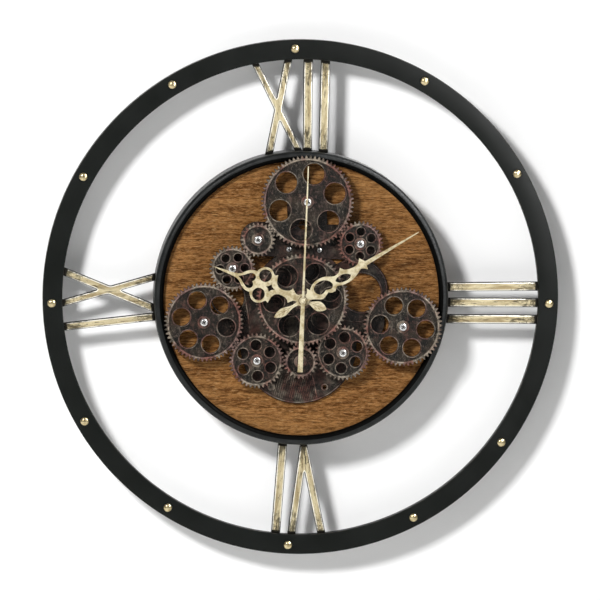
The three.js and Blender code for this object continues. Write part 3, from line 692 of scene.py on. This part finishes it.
def hanger():
    low, high = extent("hanger")
    back, front, half, lower = low[2], high[2], high[0], low[1]
    radius = 167.5
    tilt = math.degrees(math.acos(half / radius))
    outline = [(half, lower), *arc_path(radius, tilt, 180 - tilt), (-half, lower)]
    eye, slot_top, narrow, wide = 141, 151, 2.5, 5
    opening = arc_path(wide, 120, 420, (0, eye), 28)
    opening += arc_path(narrow, 0, 180, (0, slot_top), 12)
    shape = Shape()
    slab(shape, [outline, opening], back, front, 0.35, 2, 0, (0.3, 0.8, 0.3))
    for x in (-48, 48):
        ridge(shape, [(x, lower + 5), (x, 150)], 3, front, 1.2, 0.6)
    show("hanger", shape, [BLACK])


DRIVE_BORE = 3.0  # radius of the board's hole for the drive shaft


def board():
    low, high = extent("dial_board")
    shape = Shape()
    bores = [circle(5.4), circle(DRIVE_BORE, middle("drive_shaft"), 32)]
    slab(shape, [circle(high[0], segments=160), *bores], low[2], high[2], 0.3, 1, 0, (0.3, 0.3, 0.3), 1, 0)
    show("dial_board", shape, [OAK, BOARD_BACK])


# ---- Gears ----
MODULE, ADDENDUM, DEDENDUM, BACKLASH = 1.6, 1.3, 1.8, 0.55
GEARS = {  # teeth, the gear it meshes with, and holes: radius of their circle, their radius, first angle
    "centre_gear": (66, None, (33.3, 12.3, 3)),
    "drive_pinion": (24, "centre_gear", None),
    "lower_left_gear": (39, "drive_pinion", (18, 6, 33)),
    "lower_right_gear": (39, "drive_pinion", (18, 6, 24)),
    "left_gear": (56, "lower_left_gear", (26.7, 10.2, 47)),
    "right_gear": (56, "lower_right_gear", (26.7, 10.2, 53)),
    "left_idler": (32, "left_gear", (14.3, 4.7, 3)),
    "upper_left_idler": (24, "left_idler", None),
    "top_gear": (66, "upper_left_idler", (33.3, 12.3, 17)),
    "right_idler": (32, "top_gear", (14.3, 4.7, 28)),
}
PRESSURE_ANGLE = 20
RUNNING, SNUG = 0.08, 0.04  # radial clearance of a gear on its axle, and of the pinion on its shaft
FACETS = 0.02  # added to a bore's radius, because its flat facets cut in
PINION_BACK = 43.5


def tooth_phases():
    """The angle of one tooth of each gear, in radians, so that it stands in its neighbour's gap."""
    phases = {}
    for name, (teeth, partner, _) in GEARS.items():
        if partner is None:
            phases[name] = 0.0
            continue
        (x0, y0), (x1, y1) = axis_of(BODY_OF[partner]), axis_of(BODY_OF[name])
        bearing = math.atan2(y1 - y0, x1 - x0)
        partner_turn = (phases[partner] - bearing) * GEARS[partner][0]
        phases[name] = bearing + math.pi + (math.pi - partner_turn) / teeth
    return phases


def tooth_loop(teeth, phase, at):
    pitch = MODULE * teeth / 2
    tip, root = pitch + ADDENDUM, pitch - DEDENDUM
    lean = math.tan(math.radians(PRESSURE_ANGLE))
    half = (math.pi * MODULE - BACKLASH) / 4
    half_tip, half_root = (half - ADDENDUM * lean) / tip, (half + DEDENDUM * lean) / root
    half_middle = (half_tip + half_root) / 2
    side = [(root, half_root), ((root + tip) / 2, half_middle)]
    side += [(tip - 0.35, half_tip), (tip, half_tip * 0.55)]
    loop = []
    for i in range(teeth):
        centre = phase + 2 * math.pi * i / teeth
        for radius, angle in [(r, -a) for r, a in side] + side[::-1]:
            loop.append(polar(radius, math.degrees(centre + angle), at))
    return loop


def bead(shape, radius, at, base, height, width=1.5, relief=1.0, segments=96):
    """A half-round raised ring."""
    arc = spread(math.pi, 6)
    profile = [(radius + width / 2 * math.cos(t), base + height * math.sin(t)) for t in arc]
    profile += [(radius - width / 2, base - 0.2), (radius + width / 2, base - 0.2)]
    values = [relief * math.sin(t) for t in arc] + [0, 0]
    lathe(shape, profile, at, segments, True, values)


def ring_block(shape, inner, outer, back, front, at, relief, chamfer=0.4):
    """A plain ring with its outer edges bevelled."""
    profile = [(inner, back), (outer - chamfer, back), (outer, back + chamfer), (outer, front - chamfer)]
    profile += [(outer - chamfer, front), (inner, front)]
    values = [relief, relief, relief, min(1, relief + 0.3), min(1, relief + 0.5), relief]
    lathe(shape, profile, at, 48, True, values)


def gear(name, phase):
    teeth, _, holes = GEARS[name]
    at = axis_of(BODY_OF[name])
    hub_back, front = depths(name)
    tall = name == "drive_pinion"
    back = PINION_BACK if tall else front - 6
    root = MODULE * teeth / 2 - DEDENDUM
    rim = root - 2.8
    bore = (5 if name == "centre_gear" else 2.5) + (SNUG if tall else RUNNING) + FACETS
    hub = 9 if name == "centre_gear" else 6.5
    shape = Shape()
    toothed = [tooth_loop(teeth, phase, at), circle(rim, at, 96)]
    slab(shape, toothed, back, front - 0.6, 0.4, 1, 0, (0.35, 0.75, 0.6))
    bead(shape, root - 1.3, at, front - 0.75, 0.75, 1.7)
    floor = front - (1.4 if holes else 4.0 if tall else 2.2)
    cuts = [circle(bore, at, 32)]
    if holes:
        hole_circle, hole_radius, turn = holes
        places = [polar(hole_circle, turn + 60 * k, at) for k in range(6)]
        cuts += [circle(hole_radius, p, 40) for p in places]
        for p in places:
            bead(shape, hole_radius + 0.75, p, floor - 0.1, 0.7, 1.5, 0.75, 40)
    slab(shape, [circle(rim + 0.4, at, 96), *cuts], back + 0.7, floor, 0.3, 1, 0.8, (0.2, 0.45, 0.12))
    boss = 7.4 if hub < 7 else 11
    boss_front = front - (1.6 if tall else 0.1)
    ring_block(shape, bore, boss, floor - 0.3, (floor + boss_front) / 2, at, 0.25)
    ring_block(shape, bore, boss - 1.6, floor, boss_front, at, 0.3)
    ring_block(shape, bore, hub, hub_back, back + 1, at, 0.1)
    if teeth > 50:
        bead(shape, rim - 1.0, at, floor - 0.1, 0.5, 1.0, 0.4)
    show(name, shape, [BRONZE], 30)


def pan_head(shape, at, radius, back, front, turn):
    """A domed screw head with a cross recess."""
    flat, floor = radius * 0.62, back + (front - back) * 0.35
    edge = back + (front - back) * 0.3
    arc = spread(math.pi / 2, 7)
    dome = [(flat + (radius - flat) * math.cos(t), edge + (front - edge) * math.sin(t)) for t in arc]
    profile = [(0, back), (radius - 0.2, back), (radius, back + 0.2), *dome, (flat, floor), (0, floor)]
    # relief 0 on the recess floor here and on the cross's walls below makes the metal finish paint them near
    # black, as painted shade
    lathe(shape, profile, at, 40, False, [0.3, 0.3, 0.5] + [0.6] * len(dome) + [0.0, 0.0])
    arm, width = flat * 0.86, flat * 0.2
    cross = [(arm, width), (width, width), (width, arm), (-width, arm), (-width, width), (-arm, width)]
    cross += [(-x, -y) for x, y in cross]
    spin = clockwise(turn, at)
    loops = [circle(flat, at, 40), [spin(*p) for p in cross]]
    slab(shape, loops, floor - 0.05, front, 0.12, 1, 0, (0.0, 0.6, 0.6))


SCREW_TURNS = {"top_gear_screw": 20, "left_gear_screw": 65, "right_gear_screw": 35, "left_idler_screw": 10}
PLATE_FRONT = 36.0  # the relief plate's face, where the shoulders of its axle screws begin


def screw(node, point, thread, head, turn, segments, seat=None):
    """A pointed thread and a domed head (radius, height). An axle screw has a shoulder above its seat."""
    tip, top = depths(node)
    neck = top - head[1]
    shank = [(0, tip), (point, tip), (thread, tip + 0.6)]
    if seat:
        shank += [(thread, seat + 0.1), (2.5, seat + 0.1)]
    shape = Shape()
    lathe(shape, [*shank, (shank[-1][0], neck + 0.1), (0, neck + 0.1)], middle(node), segments, False, 0.4)
    pan_head(shape, middle(node), head[0], neck, top, turn)
    show(node, shape, [STEEL], 40)


def axle_screw(node):
    on_board = node in ("left_gear_screw", "right_gear_screw")
    seat = extent("dial_board")[1][2] if on_board else PLATE_FRONT
    screw(node, 1.4, 1.85, (4.6, 2.7), SCREW_TURNS.get(node, 50), 32, seat)


# ---- Relief plate ----
PLATE_THICKNESS = 3.7
BARREL_CENTRE, LEFT_LOBE = (-3.1, -55.2), (-76, -36)
OPENING_LEFT, LOWER_HOLE = (-85, 1), (27, -103.7)


def without(shape, cutters, name):
    """The shape's mesh with the cutters' solids taken out of it."""
    body, tool = place(name, shape.mesh(name)), place(f"{name}_cutter", cutters.mesh(f"{name}_cutter"))
    cut = body.modifiers.new("cut", "BOOLEAN")
    cut.operation, cut.solver, cut.object, cut.use_self = "DIFFERENCE", "EXACT", tool, True
    graph = bpy.context.evaluated_depsgraph_get()
    mesh = bpy.data.meshes.new_from_object(body.evaluated_get(graph))
    for piece in (body, tool):
        bpy.data.objects.remove(piece)
    return mesh


def along_bar(start, end, radius):
    """The outline of a bar with round ends."""
    heading = math.degrees(math.atan2(end[1] - start[1], end[0] - start[0]))
    around_end = arc_path(radius, heading - 90, heading + 90, end, 16)
    return around_end + arc_path(radius, heading + 90, heading + 270, start, 16)


def relief_plate():
    back = extent("gear_plate")[0][2]
    base = back + PLATE_THICKNESS
    seat = {name: axis_of(BODY_OF[name]) for name in GEARS}
    body = Shape()
    lobes = [  # outline, and how far its face lies below the plate's base face
        (circle(57, (0, 0), 96), 0.9),
        (circle(67.5, BARREL_CENTRE, 120), 0.15),
        (circle(37.7, (63, 8.6), 80), 0.5),
        (circle(25, (72, -28), 64), 0.3),
        (circle(26, (-58, 0), 64), 0.4),
        (circle(23, LEFT_LOBE, 64), 0.6),
        (circle(20, seat["left_idler"], 64), 0.7),
        (along_bar(seat["upper_left_idler"], seat["right_idler"], 20), 0),
        (along_bar((8, 70), (6.5, 106), 23), 0.8),
    ]
    for outline, lower in lobes:
        slab(body, [outline], back, base - lower, 0.5, 1, 0, (0.1, 0.5, 0.15))
    cutters = Shape()
    openings = [((70, 6.2), 22.4), (OPENING_LEFT, 18.5), ((1.7, 85), 5), (LOWER_HOLE, 2.4), ((0, 0), 5.4)]
    openings += [(seat["drive_pinion"], 2.9)]
    elsewhere = ("centre_gear", "drive_pinion", "left_gear", "right_gear")  # not screwed to the plate
    openings += [(at, 1.98) for name, at in seat.items() if name not in elsewhere]
    for at, radius in openings:
        slab(cutters, [circle(radius, at, 64)], back - 2, base + 2, 0)
    mesh = without(body, cutters, "gear_plate_look")
    mesh.polygons.foreach_set("material_index", [0] * len(mesh.polygons))
    show("gear_plate", mesh, [PLATE], 30)


def plate_details():
    """Ribs, wheels, bosses and ridges cast on the front of the relief plate."""
    base = extent("gear_plate")[0][2] + PLATE_THICKNESS
    shape = Shape()
    wheel_holes = [polar(34, 15 + 60 * k) for k in range(6)]
    wheel = [circle(52, (0, 0), 96), circle(10.4), *[circle(11.6, p, 40) for p in wheel_holes]]
    slab(shape, wheel, base - 1.2, base + 2.4, 0.4, 1, 0.8, (0.15, 0.5, 0.15))
    for p in wheel_holes:
        bead(shape, 12.4, p, base + 2.3, 0.7, 1.5, 0.8, 40)
        bead(shape, 8.0, p, base - 0.9, 1.0, 1.3, 0.6, 32)
    bead(shape, 49.5, (0, 0), base + 2.3, 0.8, 1.8, 0.8)
    barrel_ribs(shape, base)
    for radius, at in ((36.4, (63, 8.6)), (23.6, (70, 6.2)), (19.6, OPENING_LEFT)):
        bead(shape, radius, at, base - 0.5, 1.1, 1.7, 0.7)
    ridge(shape, [(-66, 4), (-62, -18), (-59.6, -40)], 2.0, base - 0.2, 1.6, 1.0)
    for x, y in stipple_places():
        bead(shape, 0.5, (x, y), base - 0.5, 0.9, 1.4, 0.6, 8)
    ridge(shape, arc_path(24, 30, 150, (3.4, 62), 18), 1.6, base - 0.1, 1.1, 0.8)
    for k in range(15):
        x = -12 + 2.6 * k
        ridge(shape, [(x, 84), (x + 0.6, 98)], 1.7, base - 0.9, 1.1, 0.5)
    ring_block(shape, 2.4, 4.2, base - 0.4, base + 0.9, LOWER_HOLE, 0.5)
    ring_block(shape, 0.6, 4.6, base - 0.4, base + 1.0, (-35, -103), 0.5)
    show("gear_plate", shape, [PLATE], 30, details=True)


def barrel_ribs(shape, base):
    """The ribbed barrel at the plate's foot, with a ridge at its right edge."""
    centre, radius = Vector(BARREL_CENTRE), 65.6
    lean = Vector((0.21, -1)).normalized()
    pitch, count = 2.1, 25
    for k in range(count):
        top = Vector((-38 + pitch * k, -88))
        b, c = (top - centre).dot(lean), (top - centre).length_squared - radius * radius
        foot = top + lean * (-b + math.sqrt(b * b - c))
        last = k == count - 1
        width, height = (2.4, 2.0) if last else (1.75, 1.15)
        points = [tuple(top.lerp(foot, t / 6)) for t in range(7)]
        ridge(shape, points, width, base - 0.25, height, 1.0 if last else 0.7)
    ridge(shape, arc_path(66, 226, 318, tuple(centre), 40), 1.8, base - 0.3, 1.0, 0.8)


def stipple_places():
    """Small studs scattered over the left lobe of the plate, on a loose grid."""
    places = []
    for row in range(13):
        for column in range(7):
            x = -82 + 3.1 * column + 1.5 * (row % 2)
            y = -46 + 3.4 * row + 0.9 * math.sin(7.3 * column + 3.1 * row)
            if math.dist((x, y), OPENING_LEFT) > 21.5 and math.dist((x, y), LEFT_LOBE) < 31 and x < -60:
                places.append((x, y))
    return places


# ---- Hands ----
CORNER = "corner"
HOUR_HALF = [
    (0, -29.6, CORNER), (2.8, -27), (5.4, -22), (5.5, -17.5), (3.3, -12.5), (2.0, -9.5),
    (2.4, -7, CORNER), (5.6, -4.6), (7.2, 0), (5.9, 4.2), (4.2, 6.2, CORNER), (4.4, 10),
    (9.0, 15.4, CORNER), (6.2, 17), (4.4, 20), (3.4, 24), (3.3, 28), (4.8, 32), (8.6, 35), (13, 36.2),
    (17.3, 36.9, CORNER), (15.8, 40.4), (19.6, 44.6), (21.5, 50.5), (19.9, 56), (15.6, 59.8),
    (12.9, 61.2, CORNER), (12.7, 64), (12.0, 68), (9.3, 72.4), (5.2, 76.8), (2.9, 80.8), (2.1, 86),
    (1.3, 98), (0.35, 110.2, CORNER),
]
HOUR_HEART = [
    (0, 79.6, CORNER), (2.9, 74.8), (6.7, 70), (8.9, 66.2), (8.2, 62.2), (5.4, 60.2), (2.2, 60.8),
    (0, 62.6, CORNER),
]
HOUR_DIAMOND = [(0, 45.6, CORNER), (1.8, 42.4), (4.6, 40.4, CORNER), (1.9, 38.3), (0, 34.8, CORNER)]
MINUTE_OUTLINE = [
    (0, -38.5, CORNER), (2.6, -35), (4.6, -29), (4.4, -24), (2.4, -17), (1.7, -12), (2.4, -6.2, CORNER),
    (5.0, -4), (6.4, 0), (5.4, 3.9), (4.0, 6.5, CORNER), (4.6, 10), (7.2, 15), (10.4, 20.8), (9.0, 26),
    (6.9, 30.3, CORNER), (9.3, 33.5), (9.8, 38.3, CORNER), (6.9, 41), (6.0, 43.6), (8.2, 49.5), (8.9, 57),
    (8.2, 63.5), (5.6, 70.5), (3.4, 74.5), (3.0, 78), (7.3, 83.4, CORNER), (2.6, 84.2, CORNER),
    (0.5, 155.8, CORNER), (-0.5, 155.8, CORNER), (-2.6, 85.2, CORNER), (-9.3, 80.8, CORNER), (-5.0, 77.4),
    (-3.4, 72.5), (-4.1, 66), (-6.4, 59.6), (-11, 56.2, CORNER), (-6.8, 51.8), (-5.8, 46.8), (-7.4, 42.2),
    (-10.8, 36), (-12.2, 29), (-11.4, 21.5), (-8.6, 15.8), (-6.0, 13.2, CORNER), (-9.9, 11, CORNER),
    (-5.0, 8.4), (-4.4, 6, CORNER), (-5.4, 3.9), (-6.4, 0), (-5.0, -4), (-2.4, -6.2, CORNER), (-1.7, -12),
    (-2.4, -17), (-4.4, -24), (-4.6, -29), (-2.6, -35),
]
MINUTE_OPENING = [
    (-4.4, 17.4), (-8.2, 22), (-9.0, 28), (-7.2, 34), (-2.8, 38.4), (1.6, 39.2), (4.6, 36.6), (4.4, 32.8),
    (3.0, 29.3, CORNER), (4.8, 25), (4.4, 20.8), (0.8, 17.6),
]
MINUTE_TEARDROP = [
    (-0.4, 43.8, CORNER), (-2.6, 48), (-2.9, 54), (-0.8, 59.6), (2.6, 63.2, CORNER), (5.2, 60), (5.6, 54),
    (4.4, 48.6), (2.0, 45.2),
]


def leaf_veins(shape, spin, tip, root, reach_out, z):
    """Fine raised lines on the leaf at a hand's tail."""
    ridge(shape, [spin(0, root), spin(0, (tip + root) / 2), spin(0, tip + 2)], 0.9, z - 0.05, 0.22, 1.0)
    for side in (-1, 1):
        for share in (0.2, 0.42):
            y = root + (tip - root) * share
            path = [spin(0, y), spin(side * reach_out * 0.45, y + (tip - root) * 0.16)]
            path.append(spin(side * reach_out * 0.7, y + (tip - root) * 0.3))
            ridge(shape, path, 0.75, z - 0.05, 0.2, 1.0)


HAND_ANGLES = {"hour_hand": 291.1, "minute_hand": 59.6, "second_hand": 2.3}


def flat_hand(node, loops, bore, hub, leaf):
    back, front = depths(node)
    spin = clockwise(HAND_ANGLES[node])
    shape = Shape()
    placed = [[spin(*p) for p in loop] for loop in loops]
    top = front - 0.35
    slab(shape, [*placed, circle(bore, (0, 0), 32)], back, top, 0.4, 3, 0, (0.9, 0.5, 0.0))
    ring_block(shape, bore, hub, top - 0.2, front, (0, 0), 0.4, 0.3)
    bead(shape, hub - 1.6, (0, 0), front - 0.25, 0.25, 1.0, 0.8, 48)
    leaf_veins(shape, spin, *leaf, top)
    show(node, shape, [HANDS], 30)


def hour_hand():
    diamond = smooth_loop(mirrored(HOUR_DIAMOND), 3)
    loops = [smooth_loop(mirrored(HOUR_HALF)), smooth_loop(mirrored(HOUR_HEART)), diamond]
    loops += [circle(7.3, (x, 50.5), 40) for x in (-11.4, 11.4)]
    flat_hand("hour_hand", loops, 2.96, 6.4, (-29.6, -9, 5.4))


def minute_hand():
    loops = [smooth_loop(loop) for loop in (MINUTE_OUTLINE, MINUTE_OPENING, MINUTE_TEARDROP)]
    flat_hand("minute_hand", loops, 2.21, 5.4, (-38.5, -12, 4.6))


def second_hand():
    back, top = depths("second_hand")
    spin = clockwise(HAND_ANGLES["second_hand"])
    front = back + 0.8
    shape = Shape()
    needle = [(1.3, 0), (0.65, 156), (-0.65, 156), (-1.3, 0)]
    needle += [(-2.2, -3), (-3.0, -83.1), (3.0, -83.1), (2.2, -3)]
    slab(shape, [[spin(*p) for p in needle]], back + 0.05, front, 0.25, 2, 0, (0.9, 0.5, 0.0))
    ridge(shape, [spin(0, -6), spin(0, -83)], 0.9, front - 0.12, 0.2, 1.0)
    seat = front + 0.9
    dome = [(2.7 * c, seat + (top - seat) * s) for c, s in [polar(1, t) for t in spread(90, 6)[:6]]]
    cap = [(0, back), (4.2, back), (4.2, seat - 0.3), (3.9, seat), (3.0, seat), (2.8, seat - 0.35)]
    cap += [*dome, (0, top)]
    lathe(shape, cap, (0, 0), 40, False, [0.9, 0.9, 0.9, 0.45, 0.7, 1.0, 0.6] + [0.0] * 6)
    show("second_hand", shape, [HANDS], 35)


# ---- Arbors, movement and gear drive ----
def arbors():
    for node, inner, slot, material in (
        ("hour_tube", 2.24, "brass", BRASS),
        ("minute_tube", 1.19, "brass", BRASS),
        ("second_arbor", 0, "steel", STEEL),
        ("drive_shaft", 0, "steel", STEEL),
    ):
        at, (back, front) = middle(node), depths(node)
        radius, chamfer = extent(node)[1][0] - at[0], 0.2
        profile = [(inner, back), (radius - chamfer, back), (radius, back + chamfer)]
        profile += [(radius, front - chamfer), (radius - chamfer, front), (inner, front)]
        shape = Shape()
        lathe(shape, profile, at, 32, inner > 0, 0.4)
        show(node, shape, [material], 40)
    shape = Shape()
    hexagon = circle(8, (0, 0), 6)
    slab(shape, [hexagon, circle(5.05, (0, 0), 36)], *depths("centre_nut"), 0.35, 1, 0, (0.3, 0.7, 0.4))
    show("centre_nut", shape, [BRASS])


def cell(node):
    """An AA cell lying across, with a coloured jacket, a copper band and bright ends."""
    low, high = extent(node)
    left, right, y, z = low[0], high[0], middle(node)[1], (low[2] + high[2]) / 2
    radius, nub = (high[2] - low[2]) / 2, 1.2
    shoulder = right - nub
    lying = lambda x, up, out: (out, y + up, z - x)
    shape = Shape()
    rounded, wrap = 0.5, shoulder - 12
    jacket = [(0, left), (radius - 1.2, left), (radius - rounded, left), (radius, left + rounded)]
    jacket += [(radius, wrap), (radius, wrap + 0.1), (radius, shoulder - rounded)]
    jacket += [(radius - rounded, shoulder), (0, shoulder)]
    lathe(shape, jacket, (0, 0), 48, False, 0.3, 0, lying)
    band = [(radius - 0.4, wrap), (radius + 0.03, wrap)]
    band += [(radius + 0.03, shoulder - 0.6), (radius - 0.4, shoulder - 0.6)]
    lathe(shape, band, (0, 0), 48, True, 0.4, 1, lying)
    top = [(0, shoulder - 0.3), (4.6, shoulder - 0.3), (4.6, shoulder + 0.05), (2.7, shoulder + 0.1)]
    foot = [(0, left + 0.2), (5.6, left + 0.2), (5.6, left), (0, left)]
    for end in ([*top, (2.7, right - 0.3), (2.4, right), (0, right)], foot):
        lathe(shape, end, (0, 0), 32, False, 0.4, 2, lying)
    show(node, shape, [JACKET, COPPER, STEEL], 40)


def contact(shape, x, y, z):
    """A flat spring contact at the end of a cell bay."""
    thick, half = 0.6, 5
    strip = [(x, y - half), (x + thick, y - half), (x + thick, y + half), (x, y + half)]
    slab(shape, [strip], z - half, z + half, 0.1, 1, 0, (0.4, 0.6, 0.4), 1)


CASE_FRONT = 26.7  # both cases end here, 0.3 mm behind the board


def boxed_movement(node, cell_node, knob=None, shaft=None):
    """A moulded case open at the back over its cell bay, with a knob and bushing or an output shaft."""
    low, high = extent(node)
    x0, x1, y0, y1, back = low[0], high[0], low[1], high[1], low[2]
    cell_low, cell_high = extent(cell_node)
    gap = 0.5
    bay = (cell_low[0] - 1.8, cell_high[0] + 1.8, cell_low[1] - gap, cell_high[1] + gap)
    bay_floor = cell_high[2] + gap
    wear = (0.3, 0.9, 0.3)
    shape = Shape()
    openings = [rounded_rectangle(*bay, 1.2)] + ([circle(7.1, knob, 40)] if knob else [])
    slab(shape, [rounded_rectangle(x0, x1, y0, y1, 4), *openings], back, bay_floor, 0.7, 3, 0, wear)
    inner = rounded_rectangle(x0 + 0.2, x1 - 0.2, y0 + 0.2, y1 - 0.2, 4)
    passage = [circle(3, segments=32), circle(1.6, knob, 24)] if knob else [circle(2.6, shaft, 32)]
    slab(shape, [inner, *passage], bay_floor - 0.6, CASE_FRONT, 0.7, 3, 0, wear)
    if knob:
        threaded_bushing(shape, high[2])
    for y in [y0 + 4, y0 + 7] if knob else [y1 - 5 - 4 * k for k in range(6)]:
        if not (bay[2] - 3 < y < bay[3] + 3):
            ridge(shape, [(x0 + 8, y), (x1 - 8, y)], 1.6, back + 0.2, 0, 0.4)
    y, z = (bay[2] + bay[3]) / 2, (cell_low[2] + cell_high[2]) / 2
    for x in (bay[0] + 0.1, bay[1] - 0.7):
        contact(shape, x, y, z)
    show(node, shape, [PLASTIC, BRASS if knob else STEEL])


def threaded_bushing(shape, front):
    """A brass tube with thread rings, in front of the case."""
    back, pitch = 26.2, 0.75
    profile, z = [(3.0, back), (5, back)], back
    while z + pitch < front - 0.5:
        profile += [(4.98, z + pitch * 0.25), (4.62, z + pitch * 0.5), (4.98, z + pitch * 0.75)]
        z += pitch
    profile += [(4.9, front - 0.4), (4.5, front), (3.0, front)]
    lathe(shape, profile, (0, 0), 40, True, 0.4, 1)


def setting_knob():
    at, (back, top) = middle("setting_knob"), depths("setting_knob")
    radius, face, notch = extent("setting_knob")[1][0] - at[0], back + 5.2, 0.55
    count = 3 * 36  # three points for each of the grip's ridges
    loop = [polar(radius - (notch if k % 3 == 2 else 0), 360 * k / count, at) for k in range(count)]
    shape = Shape()
    slab(shape, [loop], back + 0.35, face, 0.3, 1, 0, (0.5, 0.9, 0.3))
    lathe(shape, [(0, back), (4.4, back), (4.8, back + 0.5), (0, back + 0.5)], at, 40, False, 0.5)
    lathe(shape, [(0, face - 0.2), (1.5, face - 0.2), (1.5, top), (0, top)], at, 24, False, 0.3)
    show("setting_knob", shape, [KNOB])


# ---- Assembly ----
outer_ring()
for node in sorted(n for n in BODY_OF if n.startswith("rivet")):
    rivet(node)
for node in STROKES:
    numeral(node)
drum()
hanger()
board()
relief_plate()
plate_details()
phases = tooth_phases()
for name in GEARS:
    gear(name, phases[name])
for node in sorted(n for n in BODY_OF if n.endswith("_screw")):
    axle_screw(node)
for node, turn in (("plate_screw_left", 30), ("plate_screw_right", 75)):
    screw(node, 0.9, 1.28, (3, 1.9), turn, 24)
hour_hand()
minute_hand()
second_hand()
arbors()
boxed_movement("movement_case", "movement_cell", knob=middle("setting_knob"))
boxed_movement("drive_case", "drive_cell", shaft=axis_of("drive_pinion"))
setting_knob()
cell("movement_cell")
cell("drive_cell")

# ---- Stage, light and camera ----
def plane(name, points, material):
    mesh = bpy.data.meshes.new(name)
    mesh.from_pydata([Vector(p) for p in points], [], [(0, 1, 2, 3)])
    mesh.materials.append(material)
    place(name, mesh)


def pale_wall():
    """White paint that is seen from the front only and casts no shadow, so that the clock's back shows."""
    f = Finish("pale_wall")
    white = f.node("ShaderNodeBsdfDiffuse", {"Color": (0.93, 0.93, 0.93, 1)})
    clear = f.node("ShaderNodeBsdfTransparent")
    behind = f.node("ShaderNodeNewGeometry").outputs["Backfacing"]
    through = f.most(behind, f.node("ShaderNodeLightPath").outputs["Is Shadow Ray"])
    mix = f.node("ShaderNodeMixShader", {0: through, 1: white.outputs[0], 2: clear.outputs[0]})
    f.node("ShaderNodeOutputMaterial", {"Surface": mix.outputs[0]})
    return f.material


def area_light(name, at, size, energy):
    """A round lamp that faces the clock's centre and is itself out of sight."""
    data = bpy.data.lights.new(name, "AREA")
    data.shape, data.size, data.energy = "DISK", size, energy
    light = place(name, data)
    light.location = at
    light.rotation_euler = (-Vector(at)).to_track_quat("-Z", "Y").to_euler()
    light.visible_camera = False
    return light


def stage():
    wall_y, floor_z, far = WALL_Y + 0.012, -0.9, 6
    low_left, low_right = (-far, wall_y, floor_z), (far, wall_y, floor_z)
    plane("wall", [low_left, low_right, (far, wall_y, far), (-far, wall_y, far)], pale_wall())
    floor = Finish("pale_floor").finish((0.85, 0.85, 0.84), 0.6)
    across = [(x, y, floor_z) for x, y in ((-far, -far), (far, -far), (far, far), (-far, far))]
    plane("floor", across, floor)
    world = bpy.data.worlds.new("studio")
    world.use_nodes = True
    tree = world.node_tree
    background = tree.nodes["Background"]
    background.inputs[0].default_value = (1, 1, 1, 1)
    as_lamp, as_seen = 0.17, 0.8
    shown = tree.nodes.new("ShaderNodeMapRange")
    shown.inputs["To Min"].default_value = as_lamp
    shown.inputs["To Max"].default_value = as_seen
    tree.links.new(tree.nodes.new("ShaderNodeLightPath").outputs["Is Camera Ray"], shown.inputs["Value"])
    tree.links.new(shown.outputs["Result"], background.inputs[1])
    bpy.context.scene.world = world
    area_light("key", (-2.4, -3.8, 2.4), 0.95, 262).visible_glossy = False
    area_light("back", (1.6, 3.2, 2.0), 1.6, 75)
    for name, at, size, energy in (
        ("sheen", (0.5, -0.8, 0.25), 0.35, 5),
        ("edge", (1.1, -1.05, 1.1), 0.8, 38),
        ("front", (-1.6, -3.6, 1.6), 1.2, 60),
    ):
        area_light(name, at, size, energy).visible_diffuse = False
    bpy.context.scene.view_settings.view_transform = "Standard"


def camera():
    azimuth, elevation, distance = math.radians(-3.3), math.radians(5.0), 9.0
    level, rise = math.cos(elevation), math.sin(elevation)
    back = Vector((math.sin(azimuth) * level, -math.cos(azimuth) * level, rise))
    data = bpy.data.cameras.new("camera")
    sensor = 36
    data.sensor_width = sensor
    shown = 0.6971  # width of the picture at the ring, in metres
    data.lens = sensor * distance / shown
    view = place("camera", data)
    target = Vector((-0.0010, WALL_Y - 0.026, -0.0028))
    view.location = target + back * distance
    view.rotation_euler = (-back).to_track_quat("-Z", "Y").to_euler()
    bpy.context.scene.camera = view


stage()
camera()
